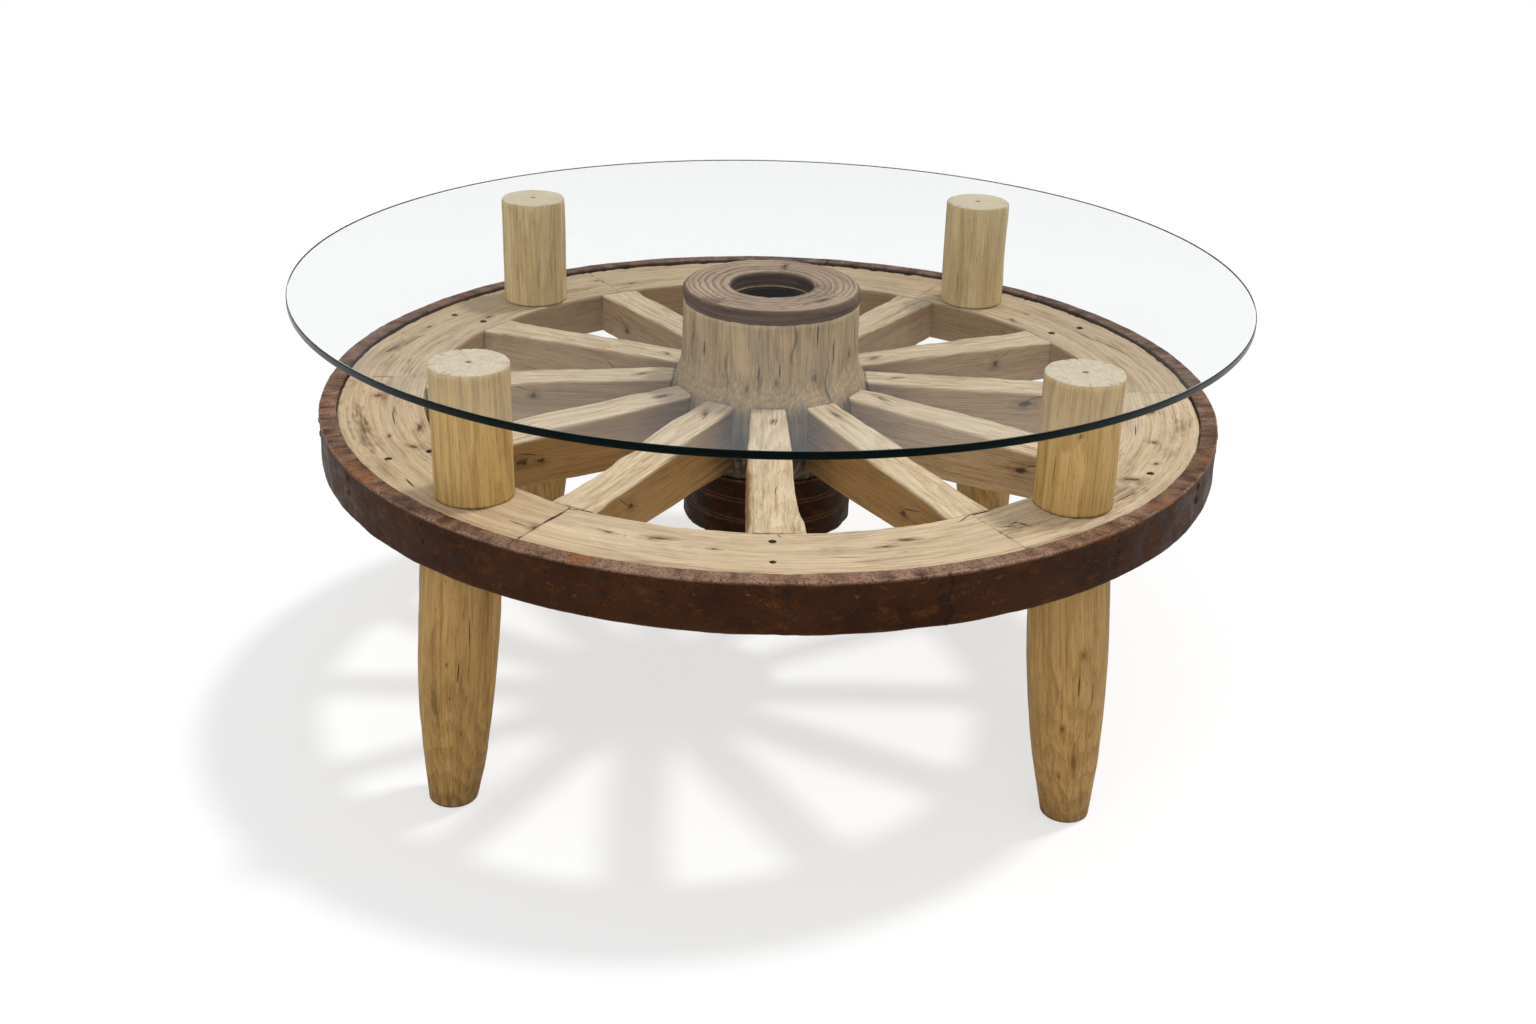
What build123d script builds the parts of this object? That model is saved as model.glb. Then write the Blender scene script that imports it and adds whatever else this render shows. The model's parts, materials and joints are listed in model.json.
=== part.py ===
from build123d import *
import os
from math import asin, cos, degrees, radians, sin, sqrt, tan

# Wagon wheel coffee table: a wooden spoked wheel lies flat on four turned legs,
# and a round sheet of glass rests on four turned posts that stand on its rim.
# Frame: origin on the floor under the hub's axis, +Z up, front towards -Y.
# Millimetres and degrees throughout.

os.makedirs("parts", exist_ok=True)

# ------------------------------------------------------------ driving sizes: table
wheel_height = 305.5          # floor to the iron tyre's lower edge
glass_overhang = 24.0         # beyond the iron tyre, all round
glass_thickness = 8.0
glass_arris = 1.5             # ground rounding of the glass edge

# ------------------------------------------------------------ driving sizes: wheel
wheel_diameter = 1016.0       # over the iron tyre
wheel_turn = 0.7              # turn of the first spoke from +X
tyre_width = 55.0
tyre_thickness = 19.0
tyre_rounding = 2.0
felloe_count = 6
spokes_per_felloe = 2
felloe_depth = 50.0           # top face to underside
felloe_breadth = 95.0         # inner edge to tyre
felloe_recess = 4.0           # tyre's upper edge above the felloes' top face
felloe_arris = 2.0
felloe_joint_gap = 0.4        # saw-cut joint between neighbouring felloes

# ------------------------------------------------------------ driving sizes: spokes
spoke_hub_width = 37.0
spoke_rim_width = 46.0        # before the flare
spoke_flare = 2.5             # each side, at the shoulder on the felloe
spoke_flare_length = 30.0
spoke_hub_depth = 68.0
spoke_rim_depth = 48.0
spoke_rise = 3.5              # dish: centre line's climb from rim to hub
spoke_arris = 3.0
foot_tenon_width = 18.0       # square foot, mortised into the nave
foot_tenon_depth = 42.0
foot_tenon_length = 40.0
tongue_diameter = 26.0        # round tongue, bored into the felloe
tongue_length = 74.0

# ------------------------------------------------------------ driving sizes: hub
hub_rise = 104.5              # barrel's top above the felloes' top face
hub_drop = 100.5              # barrel's foot below the felloes' underside
barrel_top_diameter = 200.0
barrel_belly_diameter = 226.0
barrel_neck_diameter = 188.0  # seat of the iron bands
barrel_swell = 51.0           # climb from the belly over which the barrel stays full
barrel_waist = 17.0           # from the full part up to where the straight top begins
bore_diameter = 92.0
cap_diameter = 201.0
cap_thickness = 16.0
cap_hole_diameter = 94.0
cap_rounding = 7.0
cap_hole_bevel = 3.0
axle_bore_diameter = 76.0
axle_box_setback = 1.0        # iron sleeve's top below the barrel's end grain
band_count = 3
band_height = 24.0
band_gap = 1.0
band_thickness = 4.0
band_arris = 1.2

# ------------------------------------------------------------ driving sizes: posts and legs
post_diameter = 80.0
post_height = 133.5
post_rounding = 2.5
post_foot_bevel = 1.0
centre_mark_diameter = 7.0    # lathe centre's dimple in the end grain
centre_mark_depth = 4.0
seat_setback = 38.0           # felloe's inner edge to the axis of post or leg
leg_splay_angle = 5.0
leg_foot_diameter = 51.0
leg_belly_diameter = 85.0
leg_top_diameter = 83.0
leg_belly_height = 215.0
leg_foot_rounding = 3.0
post_tenon_diameter = 30.0
post_tenon_length = 20.0
leg_tenon_diameter = 34.0
leg_tenon_length = 23.0

# Corner name: bearing of the post's axis, bearing of the leg's axis.
corner_angles = {
    "front_left": (227.3, 224.0),
    "front_right": (315.3, 315.7),
    "back_left": (135.3, 134.0),
    "back_right": (52.0, 48.0),
}

# ------------------------------------------------------------ driving sizes: nails and fits
nail_diameter = 5.0
nail_head_diameter = 9.0
nail_head_height = 1.2
pin_reach = 32.0              # length of a spoke pin below the felloe's top face
pin_setbacks = (20.0, 65.5)   # felloe's inner edge to each spoke pin
tyre_nail_bite = 14.0         # length of a tyre nail in the wood
tyre_nail_rise = 16.0         # upper nail of a pair above the tyre's mid height
tyre_nail_angles = (-18.0, 1.4, 18.0)   # from each felloe's middle
fit_gap = 0.2                 # between wood and wood, and between tyre and rim
nail_gap = 0.15
socket_gap = 1.0              # free depth past the end of a tenon or tongue

# ------------------------------------------------------------ heights and radii that follow
tyre_top = wheel_height + tyre_width
tyre_middle = wheel_height + tyre_width / 2
tyre_outer_radius = wheel_diameter / 2
glass_radius = tyre_outer_radius + glass_overhang
tyre_inner_radius = tyre_outer_radius - tyre_thickness
felloe_top = tyre_top - felloe_recess
felloe_bottom = felloe_top - felloe_depth
felloe_middle = (felloe_top + felloe_bottom) / 2
rim_outer_radius = tyre_inner_radius - fit_gap
rim_inner_radius = rim_outer_radius - felloe_breadth
seat_radius = rim_inner_radius + seat_setback
foot_radius = seat_radius + felloe_bottom * tan(radians(leg_splay_angle))
glass_bottom = felloe_top + post_height
hub_top = felloe_top + hub_rise
hub_bottom = felloe_bottom - hub_drop
tyre_nail_length = tyre_thickness + fit_gap + tyre_nail_bite
spoke_count = felloe_count * spokes_per_felloe
spoke_pitch = 360 / spoke_count
felloe_pitch = 360 / felloe_count
belly_radius = barrel_belly_diameter / 2
nave_level = felloe_middle + spoke_rise
band_seat_top = hub_bottom + band_count * band_height + (band_count - 1) * band_gap


def spoke_bearing(index):
    """Bearing of a spoke, the first being 0, counted anticlockwise from +X."""
    return wheel_turn + spoke_pitch * index


def polar(radius, bearing, height=0.0):
    """Point at a radius and bearing about the wheel's axis."""
    return Vector(radius * cos(radians(bearing)), radius * sin(radians(bearing)), height)


def save(piece, name):
    """Label a finished piece and write its STEP file."""
    piece.part.label = name
    export_step(piece.part, f"parts/{name}.step")


# ------------------------------------------------------------ glass top
with BuildPart() as glass_top:
    with BuildSketch(Plane.XY.offset(glass_bottom)):
        Circle(glass_radius)
    extrude(amount=glass_thickness)
    fillet(glass_top.edges().filter_by(GeomType.CIRCLE), glass_arris)
save(glass_top, "glass_top")

# ------------------------------------------------------------ nails
# One nail with its head's underside on the origin and its shank down -Z.


def nail_outline(reach):
    """Half outline of a nail: bevelled head above the origin, shank and point below."""
    head, shank = nail_head_diameter / 2, nail_diameter / 2
    with BuildSketch(Plane.XZ) as outline:
        with BuildLine():
            Polyline(
                (0, nail_head_height),
                (0, -reach),
                (shank / 2, -reach),
                (shank, -reach + shank),
                (shank, 0),
                (head, 0),
                (head / 2, nail_head_height),
                close=True,
            )
        make_face()
    return outline.sketch


with BuildPart() as spoke_pin:
    revolve(nail_outline(pin_reach), axis=Axis.Z)

with BuildPart() as tyre_nail:
    revolve(nail_outline(tyre_nail_length), axis=Axis.Z)

# The middle spoke of each felloe is pinned from above, with two nails in a row.
pinned_spokes = range(1, spoke_count, spokes_per_felloe)
pin_places = [
    Location(polar(rim_inner_radius + setback, spoke_bearing(index), felloe_top))
    for index in pinned_spokes
    for setback in pin_setbacks
]

# Three pairs of nails hold the tyre to each felloe, one above the other.
tyre_nail_places = []
for felloe in range(felloe_count):
    felloe_centre = wheel_turn + felloe_pitch * (felloe + 0.5)
    for offset in tyre_nail_angles:
        for rise in (0, tyre_nail_rise):
            place = polar(tyre_outer_radius, felloe_centre + offset, tyre_middle + rise)
            outwards = polar(1, felloe_centre + offset)
            tyre_nail_places.append(Plane(origin=place, z_dir=outwards).location)

with BuildPart() as felloe_pins:
    with Locations(pin_places):
        add(spoke_pin.part)
save(felloe_pins, "felloe_pins")

with BuildPart() as tyre_nails:
    with Locations(tyre_nail_places):
        add(tyre_nail.part)
save(tyre_nails, "tyre_nails")


def cut_nail_holes(places, reach):
    """Bore the nails' holes in the part being built."""
    with Locations(places):
        Cylinder(
            nail_diameter / 2 + nail_gap,
            2 * (reach + socket_gap),
            mode=Mode.SUBTRACT,
        )


# ------------------------------------------------------------ iron tyre
with BuildPart() as tyre:
    with BuildSketch(Plane.XY.offset(wheel_height)):
        Circle(tyre_outer_radius)
        Circle(tyre_inner_radius, mode=Mode.SUBTRACT)
    extrude(amount=tyre_width)
    fillet(tyre.edges().filter_by(GeomType.CIRCLE), tyre_rounding)
    cut_nail_holes(tyre_nail_places, tyre_nail_length)
save(tyre, "tyre")

# ------------------------------------------------------------ legs
# A leg is turned about its own axis, set at the splay, and sawn level at both ends.
leg_lean = {}
for name, (_, leg_bearing) in corner_angles.items():
    top_centre = polar(seat_radius, leg_bearing, felloe_bottom)
    foot_centre = polar(foot_radius, leg_bearing)
    leg_lean[name] = Plane(origin=top_centre, z_dir=top_centre - foot_centre)

leg_length = felloe_bottom / cos(radians(leg_splay_angle))
leg_overlength = leg_belly_diameter * tan(radians(leg_splay_angle))
leg_fall = (leg_belly_diameter - leg_foot_diameter) / 2
leg_curve = (leg_fall**2 + leg_belly_height**2) / (2 * leg_fall)
below_belly = leg_belly_height + leg_overlength
narrowing = leg_curve - sqrt(leg_curve**2 - below_belly**2)

with BuildPart() as leg_turning:
    with BuildSketch(Plane.XZ):
        with BuildLine():
            belly = (leg_belly_diameter / 2, leg_belly_height - leg_length)
            foot = (belly[0] - narrowing, -leg_length - leg_overlength)
            shoulder = (leg_top_diameter / 2, leg_overlength)
            RadiusArc(foot, belly, -leg_curve)
            TangentArc(belly, shoulder, tangent=(0, 1))
            Polyline(foot, (0, foot[1]), (0, shoulder[1]), shoulder)
        make_face()
    revolve(axis=Axis.Z)

for name, lean in leg_lean.items():
    with BuildPart() as leg:
        with Locations(lean.location):
            add(leg_turning.part)
        split(bisect_by=Plane.XY.offset(felloe_bottom), keep=Keep.BOTTOM)
        split(bisect_by=Plane.XY, keep=Keep.TOP)
        fillet(leg.faces().sort_by(Axis.Z)[0].edges(), leg_foot_rounding)
        with Locations(lean.offset(-leg_overlength).location):
            Cylinder(
                leg_tenon_diameter / 2,
                leg_tenon_length + leg_overlength,
                align=(Align.CENTER, Align.CENTER, Align.MIN),
            )
    save(leg, f"leg_{name}")

# ------------------------------------------------------------ posts
post_seat = {
    name: polar(seat_radius, post_bearing, felloe_top)
    for name, (post_bearing, _) in corner_angles.items()
}

for name, seat in post_seat.items():
    with BuildPart() as post:
        with BuildSketch(Plane.XY.offset(felloe_top)):
            with Locations((seat.X, seat.Y)):
                Circle(post_diameter / 2)
        extrude(amount=post_height)
        fillet(post.edges().sort_by(Axis.Z)[-1], post_rounding)
        chamfer(post.edges().sort_by(Axis.Z)[0], post_foot_bevel)
        with Locations((seat.X, seat.Y, felloe_top)):
            Cylinder(
                post_tenon_diameter / 2,
                post_tenon_length,
                align=(Align.CENTER, Align.CENTER, Align.MAX),
            )
        with Locations((seat.X, seat.Y, glass_bottom)):
            Cone(
                0,
                centre_mark_diameter / 2,
                centre_mark_depth,
                align=(Align.CENTER, Align.CENTER, Align.MAX),
                mode=Mode.SUBTRACT,
            )
    save(post, f"post_{name}")

# ------------------------------------------------------------ felloes
# The rim is bored whole and then cut into felloes, with a joint at every other spoke,
# so each joint runs through the middle of a spoke's tongue.
tongue_mouths = [
    Plane(
        origin=polar(rim_inner_radius, spoke_bearing(index), felloe_middle),
        z_dir=polar(1, spoke_bearing(index)),
    ).location
    for index in range(spoke_count)
]

with BuildPart() as rim:
    with BuildSketch(Plane.XY.offset(felloe_bottom)):
        Circle(rim_outer_radius)
        Circle(rim_inner_radius, mode=Mode.SUBTRACT)
    extrude(amount=felloe_depth)
    chamfer(rim.edges().filter_by(GeomType.CIRCLE), felloe_arris)
    with Locations(tongue_mouths):
        Cylinder(
            tongue_diameter / 2 + fit_gap,
            2 * (tongue_length + socket_gap),
            mode=Mode.SUBTRACT,
        )
    cut_nail_holes(pin_places, pin_reach)
    cut_nail_holes(tyre_nail_places, tyre_nail_length)
    with Locations([lean.location for lean in leg_lean.values()]):
        Cylinder(
            leg_tenon_diameter / 2 + fit_gap,
            2 * (leg_tenon_length + socket_gap),
            mode=Mode.SUBTRACT,
        )
    with Locations([Location(seat) for seat in post_seat.values()]):
        Cylinder(
            post_tenon_diameter / 2 + fit_gap,
            2 * (post_tenon_length + socket_gap),
            mode=Mode.SUBTRACT,
        )

for index in range(felloe_count):
    start = wheel_turn + felloe_pitch * index
    start_cut = Plane(origin=polar(felloe_joint_gap / 2, start + 90), z_dir=polar(1, start + 90))
    end_cut = Plane(
        origin=polar(felloe_joint_gap / 2, start + felloe_pitch - 90),
        z_dir=polar(1, start + felloe_pitch - 90),
    )
    with BuildPart() as felloe:
        add(rim.part)
        split(bisect_by=start_cut, keep=Keep.TOP)
        split(bisect_by=end_cut, keep=Keep.TOP)
    save(felloe, f"felloe_{index + 1}")


# ------------------------------------------------------------ hub barrel
def barrel_outline(gap):
    """Half outline of the turned nave, swollen where the spokes enter, with a gap added."""
    belly = (belly_radius + gap, nave_level)
    neck = (barrel_neck_diameter / 2 + gap, band_seat_top)
    end = (barrel_top_diameter / 2 + gap, hub_top)
    full = nave_level + barrel_swell
    low_full = nave_level - spoke_hub_depth / 2
    with BuildSketch(Plane.XZ) as outline:
        with BuildLine():
            Bezier(end, (end[0], full + barrel_waist), (belly[0], full), belly)
            Bezier(belly, (belly[0], low_full), neck)
            Polyline(neck, (0, neck[1]), (0, end[1]), end)
        make_face()
    return outline.sketch


with BuildPart() as hub_barrel:
    revolve(barrel_outline(0), axis=Axis.Z)
    with BuildSketch(Plane.XY.offset(hub_bottom)):
        Circle(barrel_neck_diameter / 2)
    extrude(amount=band_seat_top - hub_bottom)
    with Locations((0, 0, hub_bottom)):
        Cylinder(
            bore_diameter / 2,
            hub_top - hub_bottom,
            align=(Align.CENTER, Align.CENTER, Align.MIN),
            mode=Mode.SUBTRACT,
        )
    with Locations((0, 0, nave_level)):
        with PolarLocations(belly_radius - foot_tenon_length, spoke_count, start_angle=wheel_turn):
            Box(
                foot_tenon_length + belly_radius,
                foot_tenon_width + 2 * fit_gap,
                foot_tenon_depth + 2 * fit_gap,
                align=(Align.MIN, Align.CENTER, Align.CENTER),
                mode=Mode.SUBTRACT,
            )
save(hub_barrel, "hub_barrel")

# ------------------------------------------------------------ hub cap, sleeve and bands
with BuildPart() as hub_cap:
    with BuildSketch(Plane.XY.offset(hub_top)):
        Circle(cap_diameter / 2)
        Circle(cap_hole_diameter / 2, mode=Mode.SUBTRACT)
    extrude(amount=cap_thickness)
    cap_edges = hub_cap.edges().group_by(Axis.Z)[-1].sort_by(SortBy.LENGTH)
    fillet(cap_edges[-1], cap_rounding)
    chamfer(cap_edges[0], cap_hole_bevel)
save(hub_cap, "hub_cap")

with BuildPart() as axle_box:
    with BuildSketch(Plane.XY.offset(hub_bottom)):
        Circle(bore_diameter / 2 - fit_gap)
        Circle(axle_bore_diameter / 2, mode=Mode.SUBTRACT)
    extrude(amount=hub_top - hub_bottom - axle_box_setback)
save(axle_box, "axle_box")

for index in range(band_count):
    with BuildPart() as band:
        with BuildSketch(Plane.XY.offset(hub_bottom + index * (band_height + band_gap))):
            Circle(barrel_neck_diameter / 2 + fit_gap + band_thickness)
            Circle(barrel_neck_diameter / 2 + fit_gap, mode=Mode.SUBTRACT)
        extrude(amount=band_height)
        outer_edges = band.edges().filter_by(GeomType.CIRCLE).group_by(SortBy.RADIUS)[-1]
        chamfer(outer_edges, band_arris)
    save(band, f"hub_band_{index + 1}")

# ------------------------------------------------------------ spokes
# One spoke is shaped along +X: its outline from above meets its outline from the side,
# the arrises are eased, and the inner shoulder is scribed to the swollen nave.
shoulder_radius = rim_inner_radius - fit_gap
foot_end = belly_radius - foot_tenon_length + socket_gap
inner_end = belly_radius - foot_tenon_length / 2
hub_half = spoke_hub_width / 2
rim_half = spoke_rim_width / 2
flare_half = rim_half + spoke_flare
flare_start = (shoulder_radius - spoke_flare_length, rim_half)


def spoke_outline_from_above():
    """Both sides taper out from the nave and flare in a curve to the felloe."""
    with BuildSketch(Plane.XY.offset(felloe_bottom - hub_drop)) as outline:
        with BuildLine():
            shoulder = CenterArc((0, 0), shoulder_radius, 0, degrees(asin(flare_half / shoulder_radius)))
            taper = Line((inner_end, hub_half), flare_start)
            Spline(flare_start, shoulder @ 1, tangents=[taper % 1, (1, 0)])
            Polyline((inner_end, hub_half), (inner_end, 0), shoulder @ 0)
        make_face()
        mirror(about=Plane.XZ)
    return outline.sketch


def spoke_outline_from_side():
    """Deep at the nave, shallower at the felloe, and dished towards the hub's top."""
    past_shoulder = shoulder_radius + spoke_flare
    hub_top_edge = (inner_end, nave_level + spoke_hub_depth / 2)
    hub_low_edge = (inner_end, nave_level - spoke_hub_depth / 2)
    rim_top_edge = (past_shoulder, felloe_middle + spoke_rim_depth / 2)
    rim_low_edge = (past_shoulder, felloe_middle - spoke_rim_depth / 2)
    with BuildSketch(Plane.XZ) as outline:
        with BuildLine():
            Polyline(hub_top_edge, rim_top_edge, rim_low_edge, hub_low_edge, close=True)
        make_face()
    return outline.sketch


with BuildPart() as plain_spoke:
    extrude(spoke_outline_from_above(), amount=hub_drop + felloe_depth + hub_rise)
    extrude(spoke_outline_from_side(), amount=2 * flare_half, both=True, mode=Mode.INTERSECT)
    faces_up_and_down = plain_spoke.faces().sort_by(Axis.Z)
    long_edges = (faces_up_and_down[0].edges() + faces_up_and_down[-1].edges()).filter_by(
        lambda edge: abs(edge.center().Y) > foot_tenon_width / 2
    )
    fillet(long_edges, spoke_arris)
    revolve(barrel_outline(fit_gap), axis=Axis.Z, mode=Mode.SUBTRACT)
    with Locations((foot_end, 0, nave_level)):
        Box(
            foot_tenon_length,
            foot_tenon_width,
            foot_tenon_depth,
            align=(Align.MIN, Align.CENTER, Align.CENTER),
        )
    with Locations(Plane(origin=(flare_start[0], 0, felloe_middle), z_dir=(1, 0, 0))):
        Cylinder(
            tongue_diameter / 2,
            spoke_flare_length + tongue_length,
            align=(Align.CENTER, Align.CENTER, Align.MIN),
        )

with BuildPart() as pinned_spoke:
    add(plain_spoke.part)
    local_pins = [(rim_inner_radius + setback, 0, felloe_top) for setback in pin_setbacks]
    cut_nail_holes([Location(pin) for pin in local_pins], pin_reach)

for index in range(spoke_count):
    blank = pinned_spoke if index in pinned_spokes else plain_spoke
    with BuildPart() as spoke:
        with Locations(Rotation(0, 0, spoke_bearing(index))):
            add(blank.part)
    save(spoke, f"spoke_{index + 1}")
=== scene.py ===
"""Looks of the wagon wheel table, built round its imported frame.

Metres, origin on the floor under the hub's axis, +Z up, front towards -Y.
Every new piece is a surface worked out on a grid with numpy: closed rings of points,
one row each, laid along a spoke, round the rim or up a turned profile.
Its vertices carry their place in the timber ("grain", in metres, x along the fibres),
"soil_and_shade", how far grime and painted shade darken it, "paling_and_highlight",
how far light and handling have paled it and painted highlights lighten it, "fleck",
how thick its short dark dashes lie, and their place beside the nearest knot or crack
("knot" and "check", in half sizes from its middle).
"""
import json
from math import cos, pi, radians, sin, sqrt

import bpy
import numpy as np
from mathutils import Matrix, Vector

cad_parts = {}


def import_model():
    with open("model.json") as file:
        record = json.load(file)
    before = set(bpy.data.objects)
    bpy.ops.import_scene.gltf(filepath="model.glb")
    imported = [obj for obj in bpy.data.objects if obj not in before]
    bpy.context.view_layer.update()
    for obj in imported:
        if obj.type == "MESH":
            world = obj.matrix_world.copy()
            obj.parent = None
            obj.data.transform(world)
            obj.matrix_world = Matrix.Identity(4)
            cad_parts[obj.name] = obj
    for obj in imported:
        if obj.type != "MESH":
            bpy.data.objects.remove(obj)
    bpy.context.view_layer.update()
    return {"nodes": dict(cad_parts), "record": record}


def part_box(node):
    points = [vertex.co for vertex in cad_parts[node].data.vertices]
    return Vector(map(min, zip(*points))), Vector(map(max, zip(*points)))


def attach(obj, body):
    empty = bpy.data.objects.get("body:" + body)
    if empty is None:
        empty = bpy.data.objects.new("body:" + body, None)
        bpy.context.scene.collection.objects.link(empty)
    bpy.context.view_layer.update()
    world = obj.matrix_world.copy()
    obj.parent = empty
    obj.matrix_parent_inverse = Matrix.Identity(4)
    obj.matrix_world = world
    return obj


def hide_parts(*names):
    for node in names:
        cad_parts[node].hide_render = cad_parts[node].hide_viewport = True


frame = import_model()

# ------------------------------------------------------------ sizes
MM = 0.001
SPOKE_COUNT = 12
FELLOE_COUNT = 6
WHEEL_TURN = 0.7              # bearing of the first spoke, in degrees
CORNER_NAMES = ("front_left", "front_right", "back_left", "back_right")
OVERLAP = 0.8 * MM            # how far a piece runs into the one that hides its end


def reach(node):
    """Outer radius of a round CAD node that is centred on the hub's axis."""
    low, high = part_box(node)
    return (high.x - low.x) / 2


def heights(node):
    """Lowest and highest level of a CAD node."""
    low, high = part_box(node)
    return low.z, high.z


GLASS_LOW, GLASS_HIGH = heights("glass_top")
TYRE_LOW, TYRE_HIGH = heights("tyre")
TYRE_RADIUS = reach("tyre")
TYRE_THICKNESS = 19 * MM
FELLOE_LOW, FELLOE_HIGH = heights("felloe_1")
FELLOE_MIDDLE = (FELLOE_LOW + FELLOE_HIGH) / 2
FITTING_GAP = 0.2 * MM        # between an iron hoop and the timber in it
RIM_OUTER = TYRE_RADIUS - TYRE_THICKNESS - FITTING_GAP
RIM_INNER = RIM_OUTER - 95 * MM
RIM_MIDDLE = (RIM_OUTER + RIM_INNER) / 2
SEAT_RADIUS = RIM_INNER + 38 * MM
HUB_LOW, HUB_HIGH = heights("hub_barrel")
BAND_SEAT_HIGH = heights("hub_band_3")[1]
NAVE_LEVEL = FELLOE_MIDDLE + 3.5 * MM
BELLY_RADIUS = 113 * MM
BARREL_TOP_RADIUS = 100 * MM
NECK_RADIUS = 94 * MM
BORE_RADIUS = 46 * MM
CAP_HOLE_RADIUS = 47 * MM


# ------------------------------------------------------------ numpy helpers
def waves(points, size, seed, count=18):
    """Smooth random field of unit spread: a sum of plane waves about `size` long."""
    draw = np.random.default_rng(seed)
    directions = draw.normal(size=(count, 3))
    directions /= np.linalg.norm(directions, axis=1, keepdims=True)
    turns = draw.uniform(0.6, 1.6, (count, 1)) * directions * 2 * pi
    phases = draw.uniform(0, 2 * pi, count)
    scaled = np.asarray(points) / np.asarray(size)
    return np.sin(scaled @ turns.T + phases).sum(-1) / sqrt(count / 2)


def smooth(value, low, high):
    """Smooth step from 0 at low to 1 at high, and the other way round if high is lower."""
    t = np.clip((value - low) / (high - low), 0, 1)
    return t * t * (3 - 2 * t)


def turned_about_z(points, bearing):
    """Points turned about the hub's axis by a bearing in degrees."""
    c, s = cos(radians(bearing)), sin(radians(bearing))
    return points @ np.array([[c, s, 0], [-s, c, 0], [0, 0, 1]])


def bezier(controls, count):
    """Points of a Bezier curve of any degree, by repeated mixing of its control points."""
    t = np.linspace(0, 1, count)[:, None, None]
    level = np.asarray(controls, float)[None]
    while level.shape[1] > 1:
        level = level[:, :-1] * (1 - t) + level[:, 1:] * t
    return level[:, 0]


def resampled(outline, step):
    """An outline's points spaced evenly, with its corners kept."""
    outline = np.asarray(outline, float)
    pieces = []
    for start, end in zip(outline[:-1], outline[1:]):
        count = max(1, int(np.ceil(np.linalg.norm(end - start) / step)))
        pieces.append(start + (end - start) * np.linspace(0, 1, count, endpoint=False)[:, None])
    return np.concatenate(pieces + [outline[-1:]])


def rounded(outline, index, radius, count=7):
    """An outline with one corner replaced by a curve that starts a radius from it."""
    outline = [np.asarray(p, float) for p in outline]
    before, corner, after = outline[index - 1], outline[index], outline[(index + 1) % len(outline)]
    start = corner + (before - corner) * radius / np.linalg.norm(before - corner)
    end = corner + (after - corner) * radius / np.linalg.norm(after - corner)
    return outline[:index] + list(bezier((start, corner, end), count)) + outline[index + 1:]


def section(wide, tall, arc):
    """Rounded rectangle as (centre across, centre up, normal across, normal up).

    A point is centre * (half size - corner radius) + normal * corner radius. Four times
    round, a side of `tall` or `wide` points is followed by a quarter circle of `arc`.
    """
    centres, angles = [], []
    for turn, count in enumerate((tall, wide, tall, wide)):
        along = np.concatenate([np.linspace(-1, 1, count, endpoint=False), np.ones(arc)])
        angle = np.concatenate([np.zeros(count), np.linspace(0, pi / 2, arc, endpoint=False)])
        c, s = round(cos(turn * pi / 2)), round(sin(turn * pi / 2))
        centres.append(np.stack([c - s * along, s + c * along]))
        angles.append(angle + turn * pi / 2)
    centre, angle = np.concatenate(centres, 1), np.concatenate(angles)
    return centre[0], centre[1], np.cos(angle), np.sin(angle)


# ------------------------------------------------------------ meshes
def linked(name, data):
    """An object with its data, put into the scene."""
    piece = bpy.data.objects.new(name, data)
    bpy.context.scene.collection.objects.link(piece)
    return piece


def grid_mesh(name, rows, fields, hoop=False):
    """Object from closed rings of points, rows[i, j], joined by quads.

    With hoop the last ring joins the first. Otherwise the first and last rings have
    shrunk to a point each, and triangles close them.
    """
    count, around = rows.shape[:2]
    index = np.arange(count * around).reshape(count, around)
    if hoop:
        index = np.concatenate([index, index[:1]])
    else:
        index[0], index[-1] = index[0, 0], index[-1, 0]
    index = np.concatenate([index, index[:, :1]], 1)
    quads = np.stack([index[:-1, :-1], index[:-1, 1:], index[1:, 1:], index[1:, :-1]], -1)
    if hoop:
        quads, triangles = quads.reshape(-1, 4), np.empty((0, 3), int)
    else:
        triangles = np.concatenate([quads[0][:, [0, 2, 3]], quads[-1][:, [0, 1, 2]]])
        quads = quads[1:-1].reshape(-1, 4)
    corners = np.concatenate([quads.ravel(), triangles.ravel()])
    used, corners = np.unique(corners, return_inverse=True)
    starts = np.concatenate([np.arange(len(quads)) * 4, len(quads) * 4 + np.arange(len(triangles)) * 3])

    mesh = bpy.data.meshes.new(name)
    mesh.vertices.add(len(used))
    mesh.vertices.foreach_set("co", rows.reshape(-1, 3)[used].astype(np.float32).ravel())
    mesh.loops.add(len(corners))
    mesh.loops.foreach_set("vertex_index", corners.astype(np.int32))
    mesh.polygons.add(len(starts))
    mesh.polygons.foreach_set("loop_start", starts.astype(np.int32))
    mesh.update(calc_edges=True)
    mesh.validate()
    kinds = {1: ("FLOAT", "value"), 3: ("FLOAT_VECTOR", "vector"), 4: ("FLOAT_COLOR", "color")}
    for field, values in fields.items():
        width = values.shape[2] if values.ndim == 3 else 1
        kind, key = kinds[width]
        layer = mesh.attributes.new(field, kind, "POINT")
        layer.data.foreach_set(key, values.reshape(-1, width)[used].astype(np.float32).ravel())
    mesh.shade_smooth()
    mesh.set_sharp_from_angle(angle=radians(50))
    return linked(name, mesh)


def stand_for(piece, node, material, body="base"):
    """Put a finish on a piece, let it ride on its body and show it in a CAD node's place."""
    piece.data.materials.append(material)
    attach(piece, body)
    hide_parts(node)
    return piece


def finish_some(piece, material, chosen):
    """Put a second finish on the faces that a test of their middles picks."""
    piece.data.materials.append(material)
    centres = np.empty(len(piece.data.polygons) * 3)
    piece.data.polygons.foreach_get("center", centres)
    piece.data.polygons.foreach_set("material_index", chosen(centres.reshape(-1, 3)).astype(np.int32))
    return piece


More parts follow.
